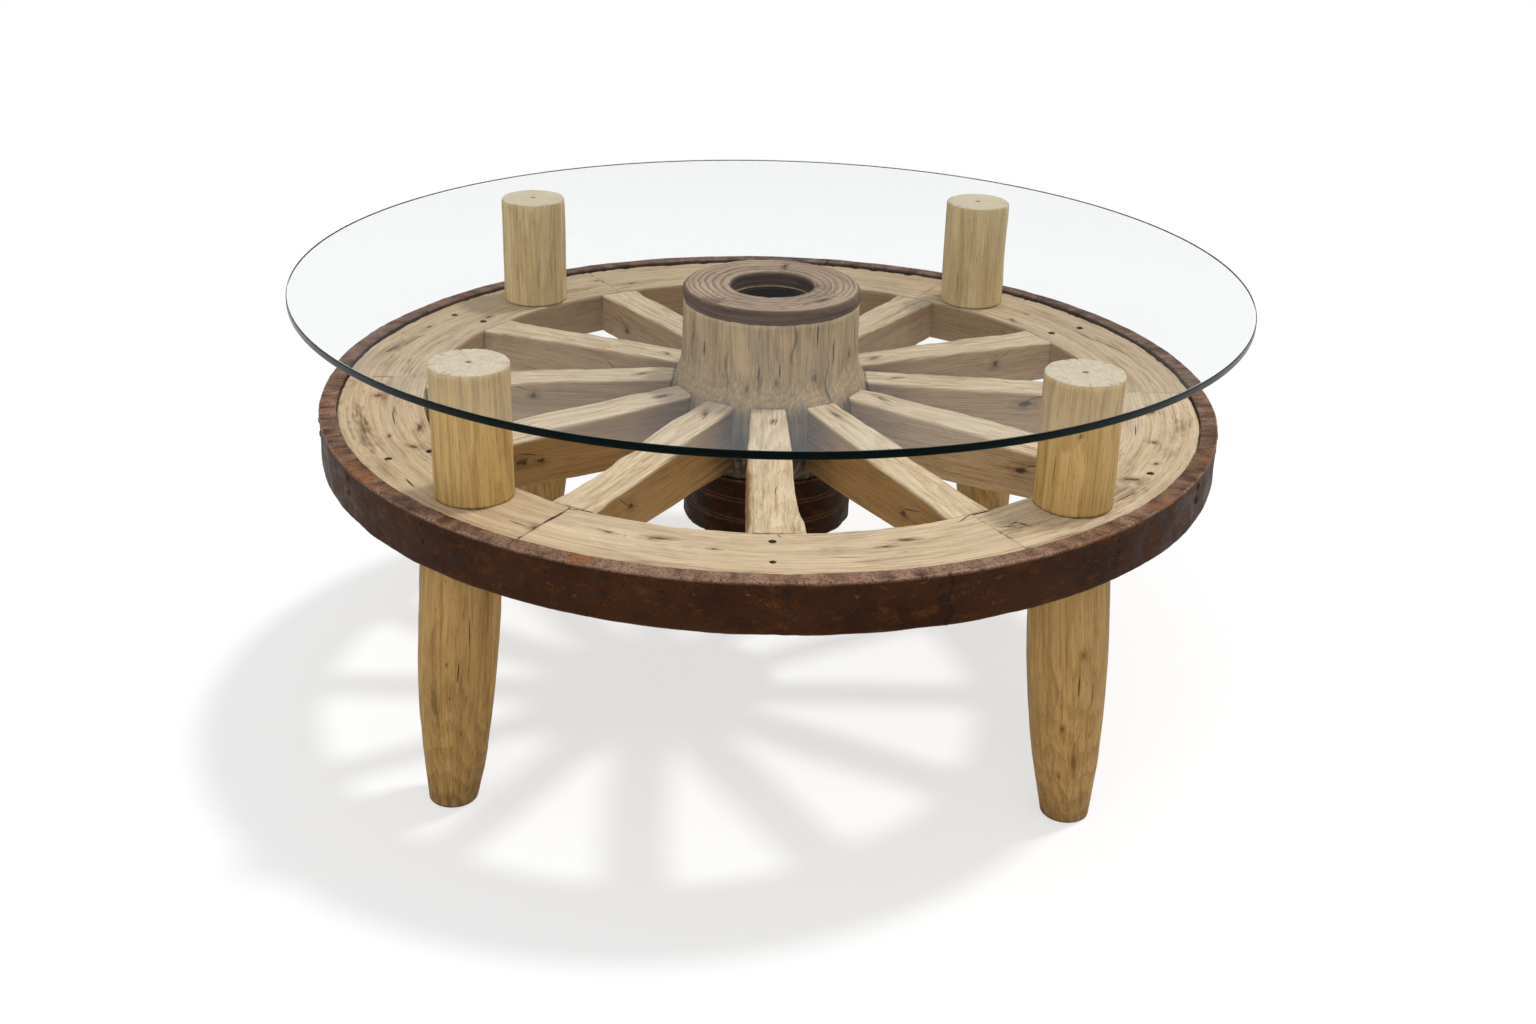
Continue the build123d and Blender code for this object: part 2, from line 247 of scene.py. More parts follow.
def revolved(profile, around):
    """Rings of a turned shape: each (radius, height) of its profile swept round +Z."""
    angle = np.linspace(0, 2 * pi, around, endpoint=False)
    radius, height = profile[:, 0, None], profile[:, 1, None]
    return np.stack([radius * np.cos(angle), radius * np.sin(angle), height + 0 * angle], -1)


def radius_of(points):
    """Distance of points from the +Z axis."""
    return np.hypot(points[..., 0], points[..., 1])


def bearing_of(points):
    """Angle of points round the +Z axis from +X, in radians."""
    return np.arctan2(points[..., 1], points[..., 0])


def pushed(rows, amount):
    """Rings of a turned shape moved off its surface along the profile's own normals."""
    along = np.gradient(np.stack([radius_of(rows), rows[..., 2]], -1), axis=0)
    length = np.maximum(np.linalg.norm(along, axis=-1), 1e-9)
    radial, rise = -along[..., 1] / length, along[..., 0] / length
    bearing = bearing_of(rows)
    step = np.stack([radial * np.cos(bearing), radial * np.sin(bearing), rise], -1)
    return rows - step * amount[..., None]


def in_timber(points, order, seed, pith):
    """Place in the timber: coordinates in the given order, off the pith, at a random depth."""
    depth = np.random.default_rng(seed).uniform(0, 40)
    return points[..., order] + np.array([depth, *pith])


def beside(points, spots):
    """Each point's place beside its nearest spot, in the spot's half sizes, and how near it is.

    A spot is (x, y, z, half length, half breadth, half depth, turn in degrees) in mm. The
    turn lies in the x-y plane, or in x-z for a spot whose half depth is under its breadth.
    """
    place = np.full((*points.shape[:-1], 4), 9.0)
    place[..., 3] = 0
    nearest = np.full(points.shape[:-1], 9.0)
    for x, y, z, *halves, turn in spots:
        away = points / MM - (x, y, z)
        c, s = cos(radians(turn)), sin(radians(turn))
        side = 1 if halves[2] >= halves[1] else 2
        along = away[..., 0] * c + away[..., side] * s
        away[..., side] = away[..., side] * c - away[..., 0] * s
        away[..., 0] = along
        away /= halves
        distance = np.linalg.norm(away, axis=-1)
        closer = distance < nearest
        place[closer, :3] = away[closer]
        nearest = np.minimum(nearest, distance)
    place[..., 3] = smooth(nearest, 4.5, 3.0)
    return place


def unrolled(rows, radius):
    """A turned piece's skin laid flat: height, way round from +X, and distance off the radius."""
    return np.stack([rows[..., 2], bearing_of(rows) * radius, radius_of(rows) - radius], -1)


def on_skin(marks, radius, depth=12):
    """Spots of a turned piece, from (height, bearing, half length, half breadth, turn) in mm and degrees."""
    return [(height, radians(bearing) * radius / MM, 0, a, b, depth, turn) for height, bearing, a, b, turn in marks]


def timber_fields(grain, soil_and_shade, paling_and_highlight, place, knots, cracks, fleck=0.0):
    """What a piece of timber tells its finish: place in the log, grime and painted shade, paling and painted
    highlight, dashes and marks.
    """
    soil_and_shade = np.clip(soil_and_shade, 0, 1)
    return {
        "grain": grain,
        "soil_and_shade": soil_and_shade,
        "paling_and_highlight": paling_and_highlight,
        "fleck": fleck + 0 * soil_and_shade,
        "knot": beside(place, knots),
        "check": beside(place, cracks),
    }


# ------------------------------------------------------------ node helpers
def put(tree, kind, settings=None, **inputs):
    """Add a shader node, with its settings and its inputs as values or links."""
    node = tree.nodes.new("ShaderNode" + kind)
    for key, value in (settings or {}).items():
        setattr(node, key, value)
    for key, value in inputs.items():
        plug(tree, node.inputs[key.replace("_", " ")], value)
    return node


def first_of(tree, kind, **inputs):
    """The first output of a shader node added with its inputs."""
    return put(tree, kind, **inputs).outputs[0]


def plug(tree, socket, value):
    """Give a socket a value or a link."""
    if isinstance(value, bpy.types.NodeSocket):
        tree.links.new(value, socket)
    else:
        socket.default_value = value


def maths(tree, operation, first, second=0.0, third=0.0):
    """A Math node's result."""
    node = put(tree, "Math", {"operation": operation})
    for socket, value in zip(node.inputs, (first, second, third)):
        plug(tree, socket, value)
    return node.outputs[0]


def times(tree, first, second):
    """Two values multiplied."""
    return maths(tree, "MULTIPLY", first, second)


def weighted(tree, *parts):
    """Sum of values, each times its weight."""
    total = 0.0
    for value, weight in parts:
        total = maths(tree, "MULTIPLY_ADD", value, weight, total)
    return total


def vectors(tree, operation, first, second=(0, 0, 0)):
    """A Vector Math node's vector."""
    node = put(tree, "VectorMath", {"operation": operation})
    plug(tree, node.inputs[0], first)
    plug(tree, node.inputs[1], second)
    return node.outputs[0]


def step(tree, value, low, high, bottom=0.0, top=1.0):
    """Smooth step of a value, from bottom at low to top at high."""
    node = put(tree, "MapRange", {"interpolation_type": "SMOOTHSTEP"}, Value=value)
    for socket, number in zip(node.inputs[1:5], (low, high, bottom, top)):
        plug(tree, socket, number)
    return node.outputs[0]


def tint(tree, factor, first, second, mode="MIX"):
    """A colour mixed from two."""
    node = put(tree, "Mix", {"data_type": "RGBA", "blend_type": mode, "clamp_result": False})
    plug(tree, node.inputs[0], factor)
    for socket, value in zip(node.inputs[6:8], (first, second)):
        plug(tree, socket, (*value, 1) if isinstance(value, tuple) else value)
    return node.outputs[2]


def laid_over(tree, colour, *layers):
    """A colour with others laid over it in turn: each a mask, its amount and the other colour."""
    for mask, amount, other in layers:
        colour = tint(tree, times(tree, mask, amount), colour, other)
    return colour


def shade(colour, factor):
    """A colour's channels times a factor."""
    return tuple(factor * channel for channel in colour)


def mixed(tree, factor, first, second):
    """A shader mixed from two."""
    node = put(tree, "MixShader")
    for socket, value in zip(node.inputs, (factor, first, second)):
        plug(tree, socket, value)
    return node.outputs[0]


def noise(tree, place, stretch, detail=3.0, roughness=0.55):
    """Noise on a place stretched by a factor for each axis, in waves to the metre: its outputs."""
    scaled = vectors(tree, "MULTIPLY", place, stretch)
    return put(tree, "TexNoise", Vector=scaled, Scale=1.0, Detail=detail, Roughness=roughness).outputs


def attribute(tree, name):
    """A piece's own attribute: its node, with Vector, Fac and Alpha outputs."""
    return put(tree, "Attribute", {"attribute_name": name}).outputs


def length(tree, vector):
    """Length of a vector."""
    node = put(tree, "VectorMath", {"operation": "LENGTH"})
    plug(tree, node.inputs[0], vector)
    return node.outputs["Value"]


def shaken(tree, vector, place, stretch, amount):
    """A vector moved to and fro by noise on the place, up to about the amount."""
    jitter = vectors(tree, "SUBTRACT", noise(tree, place, stretch, 2.0)["Color"], (0.5, 0.5, 0.5))
    return vectors(tree, "ADD", vector, vectors(tree, "MULTIPLY", jitter, amount))


def new_material(name):
    """An empty node material: (material, tree, its output node)."""
    material = bpy.data.materials.new(name)
    material.use_nodes = True
    tree = material.node_tree
    tree.nodes.clear()
    return material, tree, put(tree, "OutputMaterial")


def skin(tree, output, colour, roughness, height, relief, depth, specular, **inputs):
    """Give the output a surface: its colour, roughness and gloss, and a relief from a height."""
    normal = first_of(tree, "Bump", Strength=relief, Distance=depth, Height=height)
    shader = put(tree, "BsdfPrincipled", Base_Color=colour, Roughness=roughness, Normal=normal, **inputs)
    shader.inputs["Specular IOR Level"].default_value = specular
    tree.links.new(shader.outputs[0], output.inputs[0])


# ------------------------------------------------------------ finishes
def timber(name, bleached, warm, dark, ring=3.2, rings=0.26, grey=0.2, fibre=1.0, knots=0.88, warp=0.011):
    """Old timber, read from the piece's place in the log.

    Growth rings lie round the pith and bend past the knots. Broad streaks, strands, fine
    fibres, open pores and clusters of short dark dashes run along it. The faces that met
    the light are bleached and painted highlights pale it further; knots, cracks, grime and
    painted shade darken it.
    """
    material, tree, output = new_material(name)
    grain = attribute(tree, "grain")["Vector"]
    soil_and_shade, paling_and_highlight, fleck = (attribute(tree, field)["Fac"] for field in ("soil_and_shade", "paling_and_highlight", "fleck"))
    knot_place, crack_place = attribute(tree, "knot"), attribute(tree, "check")

    near_knot = length(tree, shaken(tree, knot_place["Vector"], grain, (120, 240, 240), (1.5, 1.5, 1.5)))
    near_crack = length(tree, shaken(tree, crack_place["Vector"], grain, (60, 330, 330), (0.7, 1.3, 0.7)))
    knot = times(tree, knot_place["Alpha"], step(tree, near_knot, 1.15, 0.55))
    halo = times(tree, knot_place["Alpha"], step(tree, near_knot, 3.0, 0.9))
    crack = times(tree, crack_place["Alpha"], step(tree, near_crack, 1.05, 0.60))

    place = shaken(tree, grain, grain, (3.2, 13, 13), (0.0, warp, warp))
    radius = length(tree, vectors(tree, "MULTIPLY", place, (0, 1, 1)))
    wave = maths(tree, "FRACT", weighted(tree, (halo, 1.6), (radius, 1000 / ring)))
    late = times(tree, step(tree, wave, 0.30, 0.90), step(tree, wave, 1.0, 0.92))
    broad, cloud, strands, fibres, dashes, clusters, pores = (
        noise(tree, place, stretch, detail, roughness)[0]
        for stretch, detail, roughness in (
            ((3.0, 70, 70), 4.0, 0.62),
            ((6.0, 19, 19), 4.0, 0.60),
            ((9, 230, 230), 4.0, 0.62),
            ((15, 620, 620), 3.0, 0.68),
            ((42, 480, 480), 2.0, 0.60),
            ((8.5, 34, 34), 3.0, 0.65),
            ((60, 1300, 1300), 2.0, 0.50),
        )
    )

    # The two darkest tones here stand for grime and painted shade.
    shadow, sooty_shade = shade(dark, 0.20), shade(dark, 0.62)
    greyed = tuple(0.55 * sum(warm) / 3 + 0.22 * channel for channel in warm)
    light = times(tree, paling_and_highlight, step(tree, strands, 0.28, 0.52, 0.60, 1.0))
    plain = tint(tree, light, warm, bleached)
    paler = tint(tree, 1.0, plain, (1.30, 1.27, 1.22), "MULTIPLY")
    streak = tint(tree, times(tree, paling_and_highlight, 0.8), dark, warm)
    marked = times(tree, step(tree, clusters, 0.54, 0.66), step(tree, dashes, 0.50, 0.36))
    marked = maths(tree, "MINIMUM", times(tree, marked, fleck), 0.95)
    gathered = times(tree, step(tree, clusters, 0.52, 0.70), times(tree, fleck, 0.35))
    # Grime and painted shade, with ragged edges along the strands.
    ragged = times(tree, soil_and_shade, step(tree, strands, 0.64, 0.34, 0.70, 1.25))
    colour = laid_over(
        tree, plain,
        (step(tree, broad, 0.50, 0.72), 0.42, streak),
        (step(tree, broad, 0.48, 0.30), 0.45, paler),
        (step(tree, cloud, 0.52, 0.70), grey, greyed),
        (late, rings, streak),
        (step(tree, strands, 0.49, 0.30), 0.50 * fibre, streak),
        (step(tree, strands, 0.54, 0.74), 0.42, paler),
        (step(tree, fibres, 0.50, 0.32), 0.50 * fibre, streak),
        (step(tree, fibres, 0.53, 0.70), 0.30, paler),
        (marked, 1.0, shade(dark, 0.55)),
        (maths(tree, "MINIMUM", gathered, 0.6), 1.0, dark),
        (step(tree, pores, 0.40, 0.31), 0.40 * fibre, shadow),
        (halo, step(tree, strands, 0.62, 0.36, 0.25, 0.75), dark),
        (knot, knots, shadow),
        (crack, 0.92, shade(dark, 0.10)),
        # Last two layers: grime and painted shade.
        (maths(tree, "MINIMUM", ragged, 0.85), 1.0, sooty_shade),
        (maths(tree, "MINIMUM", times(tree, ragged, ragged), 1.0), 1.0, shadow),
    )
    height = weighted(tree, (strands, 0.6), (fibres, 0.5), (late, 0.10), (marked, -0.35), (crack, -1.3), (knot, -0.35))
    skin(tree, output, colour, step(tree, strands, 0.3, 0.7, 0.70, 0.54), height, 0.6, 0.8 * MM, 0.22)
    return material


def end_grain(name, pale, dark):
    """Sawn end of a turned piece: pale, with fine rings and short rays from the pith."""
    material, tree, output = new_material(name)
    place = attribute(tree, "grain")["Vector"]
    along, side, up = put(tree, "SeparateXYZ", Vector=place).outputs
    flat = vectors(tree, "MULTIPLY", place, (0, 1, 1))
    polar = first_of(tree, "CombineXYZ", X=length(tree, flat), Y=maths(tree, "ARCTAN2", up, side), Z=along)
    rings = noise(tree, polar, (420, 1.5, 1), 3.0, 0.6)[0]
    rays = noise(tree, polar, (40, 14, 1), 3.0, 0.7)[0]
    speck = noise(tree, flat, (1, 380, 380), 3.0, 0.7)[0]
    colour = laid_over(
        tree, pale,
        (step(tree, rings, 0.38, 0.64), 1.0, shade(pale, 0.80)),
        (step(tree, rays, 0.50, 0.36), 0.45, dark),
        (step(tree, speck, 0.46, 0.30), 0.50, dark),
        (attribute(tree, "paling_and_highlight")["Fac"], 0.35, shade(pale, 1.12)),
        (attribute(tree, "soil_and_shade")["Fac"], 1.0, shade(dark, 0.18)),
    )
    skin(tree, output, colour, 0.75, weighted(tree, (rays, 0.6), (speck, 0.6)), 0.7, 0.7 * MM, 0.2)
    return material


def rusted_iron(name, brown, orange, sheen):
    """Old forged iron under waxed rust: dark brown scale, orange bloom, and rubbed edges and painted sheen.

    It reads Object coordinates, so that CAD nodes can take it too.
    """
    material, tree, output = new_material(name)
    place = put(tree, "TexCoord").outputs["Object"]
    paling_and_highlight, soil_and_shade = (attribute(tree, field)["Fac"] for field in ("paling_and_highlight", "soil_and_shade"))
    clouds = noise(tree, place, (9, 9, 14), 5.0, 0.62)[0]
    bloom = noise(tree, place, (34, 34, 60), 6.0, 0.66)[0]
    grit = noise(tree, place, (420, 420, 420), 4.0, 0.7)[0]
    pits = step(tree, noise(tree, place, (150, 150, 150), 3.0, 0.6)[0], 0.36, 0.28)
    fleck = step(tree, noise(tree, place, (70, 70, 120), 4.0, 0.75)[0], 0.61, 0.70)
    patch = times(tree, step(tree, clouds, 0.50, 0.58), step(tree, bloom, 0.44, 0.56))
    colour = laid_over(
        tree, brown,
        (step(tree, clouds, 0.38, 0.66), 1.0, shade(brown, 0.55)),
        (step(tree, bloom, 0.50, 0.74), 0.62, orange),
        (fleck, 0.55, shade(orange, 1.5)),
        # Rubbed parts, and painted sheen and highlights, in the sheen colour.
        (paling_and_highlight, step(tree, grit, 0.34, 0.58, 0.45, 1.0), sheen),
        (patch, times(tree, paling_and_highlight, 0.8), shade(orange, 1.9)),
        (step(tree, grit, 0.52, 0.34), 0.45, shade(brown, 0.35)),
        (pits, 0.7, shade(brown, 0.22)),
        # Darkened by grime and painted shade.
        (maths(tree, "MINIMUM", soil_and_shade, 1.0), 1.0, shade(brown, 0.12)),
    )
    height = weighted(tree, (grit, 0.6), (pits, -0.9), (bloom, 0.8))
    roughness = step(tree, bloom, 0.35, 0.7, 0.44, 0.68)
    skin(tree, output, colour, roughness, height, 0.45, 0.8 * MM, 0.06, Metallic=0.15)
    return material


def open_to_lamps(tree, surface, output):
    """Let lamp light and scattered light through a shader, and give the result to the output."""
    path = put(tree, "LightPath").outputs
    lamps = first_of(tree, "BsdfTransparent", Color=(0.975, 0.985, 0.985, 1))
    for ray in ("Is Diffuse Ray", "Is Shadow Ray"):
        surface = mixed(tree, path[ray], surface, lamps)
    tree.links.new(surface, output.inputs["Surface"])


def clear_glass(name):
    """Faces of the float glass: bent and faintly green light through, and a mirror that grows at a slant."""
    material, tree, output = new_material(name)
    bent = first_of(tree, "BsdfRefraction", Color=(0.985, 0.992, 0.992, 1), Roughness=0.0, IOR=1.5)
    mirror = first_of(tree, "BsdfGlossy", Color=(1, 1, 1, 1), Roughness=0.0)
    slant = first_of(tree, "Fresnel", IOR=1.5)
    open_to_lamps(tree, mixed(tree, times(tree, slant, 0.46), bent, mirror), output)
    return material


def ground_edge(name):
    """Edge of the glass: deep green and a little dull."""
    material, tree, output = new_material(name)
    shader = put(
        tree, "BsdfPrincipled",
        Base_Color=(0.003, 0.016, 0.013, 1), Roughness=0.28, IOR=1.5, Transmission_Weight=1.0,
    )
    shader.inputs["Specular Tint"].default_value = (0.070, 0.130, 0.122, 1)
    open_to_lamps(tree, shader.outputs[0], output)
    return material


FELLOE_WOOD = timber(
    "felloe_wood", (0.655, 0.515, 0.35), (0.41, 0.26, 0.12), (0.22, 0.12, 0.055),
    grey=0.3, fibre=0.85,
)
SPOKE_WOOD = timber(
    "spoke_wood", (0.69, 0.55, 0.38), (0.375, 0.212, 0.070), (0.18, 0.09, 0.030),
    grey=0.1, fibre=0.8,
)
LEG_WOOD = timber(
    "leg_wood", (0.56, 0.37, 0.155), (0.43, 0.255, 0.080), (0.20, 0.10, 0.028),
    rings=0.36, grey=0.1, fibre=1.2, knots=0.45, warp=0.015,
)
POST_WOOD = timber(
    "post_wood", (0.78, 0.615, 0.345), (0.56, 0.365, 0.125), (0.28, 0.145, 0.042),
    rings=0.40, grey=0.1, knots=0.6,
)
HUB_WOOD = timber(
    "hub_wood", (0.69, 0.53, 0.345), (0.50, 0.35, 0.185), (0.17, 0.105, 0.058),
    rings=0.26, grey=0.75, fibre=1.25, knots=0.55, warp=0.022,
)
CAP_WOOD = timber(
    "cap_wood", (0.54, 0.405, 0.285), (0.215, 0.128, 0.083), (0.080, 0.046, 0.031),
    ring=2.6, rings=0.8, grey=0.1, warp=0.006,
)
POST_END = end_grain("post_end", (0.77, 0.65, 0.475), (0.36, 0.24, 0.14))
# The last colour of each iron is its painted sheen, laid on rubbed and lit parts.
TYRE_IRON = rusted_iron("tyre_iron", (0.050, 0.018, 0.007), (0.135, 0.046, 0.012), (0.34, 0.205, 0.14))
BAND_IRON = rusted_iron("band_iron", (0.030, 0.009, 0.002), (0.084, 0.026, 0.004), (0.22, 0.14, 0.08))
# The sleeve is near-black so that its lit rim doesn't show in the hole: painted shade.
SLEEVE_IRON = rusted_iron("sleeve_iron", (0.014, 0.008, 0.005), (0.030, 0.016, 0.008), (0.05, 0.035, 0.025))
NAIL_IRON = rusted_iron("nail_iron", (0.030, 0.017, 0.011), (0.090, 0.045, 0.018), (0.12, 0.08, 0.05))
CLEAR_GLASS = clear_glass("clear_glass")
GLASS_EDGE = ground_edge("glass_edge")


# ------------------------------------------------------------ hub
def barrel_outer():
    """Barrel's outline from its top to its foot: two Bezier curves and a straight neck."""
    belly = (BELLY_RADIUS, NAVE_LEVEL)
    upper = bezier((
        (BARREL_TOP_RADIUS, HUB_HIGH),
        (BARREL_TOP_RADIUS, NAVE_LEVEL + 40 * MM),
        (BARREL_TOP_RADIUS, NAVE_LEVEL + 44 * MM),
        (BELLY_RADIUS + 3 * MM, NAVE_LEVEL + 46 * MM),
        belly,
    ), 64)
    lower = bezier((belly, (BELLY_RADIUS, NAVE_LEVEL - 34 * MM), (NECK_RADIUS, BAND_SEAT_HIGH)), 34)
    neck = resampled(((NECK_RADIUS, BAND_SEAT_HIGH), (NECK_RADIUS, HUB_LOW)), 4 * MM)
    return np.concatenate([upper, lower[1:], neck[1:]])


BARREL_OUTER = barrel_outer()


def barrel_radius(height):
    """Radius of the barrel's outside at a height."""
    return np.interp(height, BARREL_OUTER[::-1, 1], BARREL_OUTER[::-1, 0])


# Knots and cracks on the barrel: (height, bearing, half length, half breadth, turn) in mm and degrees.
BARREL_KNOTS = (
    (396, -86, 4, 2, 0), (398, -61, 5, 3, 0), (421, -137, 5, 2, 10), (388, -104, 5, 3, 0),
    (412, -28, 5, 3, 0), (425, 30, 6, 4, 0), (400, 84, 8, 4, 0), (418, 150, 7, 4, 0),
)
BARREL_CRACKS = (
    (446, -59, 16, 0.9, 0), (424, -46, 19, 1.0, 3), (424, -137, 10, 0.9, 0), (410, -84, 8, 0.9, 0),
    (440, -150, 14, 0.8, -2), (430, -20, 22, 0.8, 2), (436, 40, 20, 1.0, 0), (420, 100, 18, 0.9, 2),
    (440, 160, 16, 0.9, 0), (405, -97, 12, 0.8, 4),
)
# Open splits up the barrel: (bearing in degrees, low and high level in m, half breadth in degrees).
BARREL_SPLITS = (
    (-75.5, 0.405, 0.463, 1.1), (-118, 0.375, 0.43, 0.9), (-52, 0.36, 0.425, 0.9), (-96, 0.37, 0.40, 0.8),
    (20, 0.39, 0.463, 1.1), (95, 0.38, 0.45, 1.2), (170, 0.40, 0.463, 1.0), (-150, 0.39, 0.44, 0.9),
)

# The cap's marks, measured round a circle of 75 mm, out from the axis and up, in mm.
CAP_ROUND = 75 * MM
CAP_KNOTS = ((102, 72, 477, 3, 9, 8, 15), (-60, 80, 477, 12, 3, 8, 0))
CAP_CRACKS = ((98, 60, 477, 9, 0.8, 8, 70), (-150, 78, 477, 16, 0.7, 8, 4), (20, 84, 477, 18, 0.7, 8, -3))


def hub_barrel():
    """Closed profile, outside down and bore up, swept round; streaks and splits run up it."""
    arris = 1.5 * MM
    top_edge = bezier(((BARREL_TOP_RADIUS - arris, HUB_HIGH), (BARREL_TOP_RADIUS, HUB_HIGH),
                       (BARREL_TOP_RADIUS, HUB_HIGH - arris)), 5)
    inside = resampled(((NECK_RADIUS, HUB_LOW), (BORE_RADIUS, HUB_LOW), (BORE_RADIUS, HUB_HIGH),
                        (BARREL_TOP_RADIUS - arris, HUB_HIGH)), 9 * MM)
    outer = BARREL_OUTER[BARREL_OUTER[:, 1] < HUB_HIGH - arris]
    rows = revolved(np.concatenate([top_edge, outer, inside[1:-1]]), 420)
    outside = smooth(radius_of(rows), BORE_RADIUS + 2 * MM, NECK_RADIUS - 1 * MM)
    lumps = 0.35 * waves(rows, (0.03, 0.03, 0.12), 11) + 0.25 * waves(rows, (0.009, 0.009, 0.09), 12)
    level, bearing = rows[..., 2], np.degrees(bearing_of(rows))
    splits = 0
    for start, low, high, width in BARREL_SPLITS:
        drift = start + 1.3 * np.sin(level * 130 + start)
        depth = smooth(np.abs(bearing - drift), width, 0) * smooth(level, low, low + 0.02)
        splits = np.maximum(splits, depth * smooth(level, high + 0.004, high - 0.012))
    rows = pushed(rows, outside * (lumps - 1.6 * splits) * MM)
    level = rows[..., 2]
    # Darker between the spokes and nearly black under the belly: grime and painted shade.
    grime_and_shade = 0.55 * smooth(level, NAVE_LEVEL + 48 * MM, NAVE_LEVEL + 14 * MM)
    grime_and_shade += 0.60 * smooth(level, NAVE_LEVEL + 10 * MM, NAVE_LEVEL - 20 * MM)
    # A painted highlight along the top edge under the cap; the barrel is also paler towards the top.
    edge = 0.9 * smooth(level, HUB_HIGH - 3.5 * MM, HUB_HIGH - arris) * outside
    fields = timber_fields(
        in_timber(rows, [2, 0, 1], 3, (0.012, 0.008)), grime_and_shade + 0.9 * splits,
        np.clip(edge + 0.4 * smooth(level, NAVE_LEVEL + 40 * MM, HUB_HIGH), 0, 1), unrolled(rows, BARREL_TOP_RADIUS),
        on_skin(BARREL_KNOTS, BARREL_TOP_RADIUS), on_skin(BARREL_CRACKS, BARREL_TOP_RADIUS), fleck=0.7,
    )
    return stand_for(grid_mesh("turned_barrel", rows, fields, hoop=True), "hub_barrel", HUB_WOOD)


def hub_cap():
    """Ring with a rolled outer edge and a bevelled hole, its top slightly dished by long use, with painted shade on
    the rolled edge and in the hole.
    """
    low, high = heights("hub_cap")
    radius, roll, bevel, foot_arris = reach("hub_cap"), 7 * MM, 3.2 * MM, 1.5 * MM
    outline = [(CAP_HOLE_RADIUS, low), (CAP_HOLE_RADIUS, high), (radius, high), (radius, low)]
    outline = rounded(outline, 2, roll, 12)
    outline = rounded(outline, 1, bevel, 6)
    outline = rounded(outline, len(outline) - 1, foot_arris, 4)
    rows = revolved(resampled(outline + [outline[0]], 1.6 * MM)[:-1][::-1], 360)
    distance = radius_of(rows)
    lumps = 0.30 * waves(rows, (0.05, 0.05, 0.02), 21) + 0.16 * waves(rows, 0.012, 22)
    rows = pushed(rows, lumps * MM)
    face = smooth(rows[..., 2], high - 1.2 * MM, high - 0.2 * MM)
    rim = smooth(distance, radius - roll, radius - 2 * MM)
    bevelled = smooth(distance, CAP_HOLE_RADIUS + 2.5 * MM, CAP_HOLE_RADIUS)
    wall = smooth(distance, CAP_HOLE_RADIUS + 1 * MM, CAP_HOLE_RADIUS)
    way_round = bearing_of(rows) * CAP_ROUND
    # Painted shade on the rolled edge below the top and on the wall of the hole; the top face paled.
    fields = timber_fields(
        np.stack([way_round + 3.0, distance, 0.4 * rows[..., 2]], -1), 0.28 * rim * (1 - face) + 0.45 * wall,
        np.clip(0.85 * face + 0.15 * bevelled * face, 0, 1), np.stack([way_round, distance, rows[..., 2]], -1),
        CAP_KNOTS, CAP_CRACKS, fleck=0.4,
    )
    return stand_for(grid_mesh("turned_cap", rows, fields, hoop=True), "hub_cap", CAP_WOOD)


def hoop_profile(inner, outer, low, high, corner, spacing):
    """Closed outline of a hoop's bar with its four corners rounded, outside first."""
    outline = [(inner, high), (outer, high), (outer, low), (inner, low)]
    for index in (3, 2, 1):
        outline = rounded(outline, index, corner, 6)
    start = np.array((inner + corner, high))
    end = np.array((inner, high - corner))
    closing = list(bezier((end, (inner, high), start), 6))
    return resampled(outline[1:] + closing, spacing)


def hub_band(number):
    """Forged hoop, a little uneven, its edges rounded by long use; the top band has a painted highlight on its upper
    ledge.
    """
    node = f"hub_band_{number}"
    low, high = heights(node)
    outer = reach(node)
    rows = revolved(hoop_profile(NECK_RADIUS + FITTING_GAP, outer, low, high, 1.2 * MM, 2.4 * MM), 300)
    lumps = 0.22 * waves(rows, 0.03, 40 + number) + 0.10 * waves(rows, 0.009, 50 + number)
    rows = pushed(rows, lumps * MM)
    level = (rows[..., 2] - low) / (high - low)
    edge = smooth(np.abs(level - 0.5), 0.40, 0.5)
    # Edges rubbed paler, a painted highlight on the top band's upper ledge, and darker along the lower edge.
    ledge = 0.45 * smooth(level, 0.97, 1.0) if number == 3 else 0
    fields = {"paling_and_highlight": 0.50 * edge + ledge, "soil_and_shade": 0.6 * smooth(level, 0.05, 0.0)}
    return stand_for(grid_mesh(f"forged_band_{number}", rows, fields, hoop=True), node, BAND_IRON)


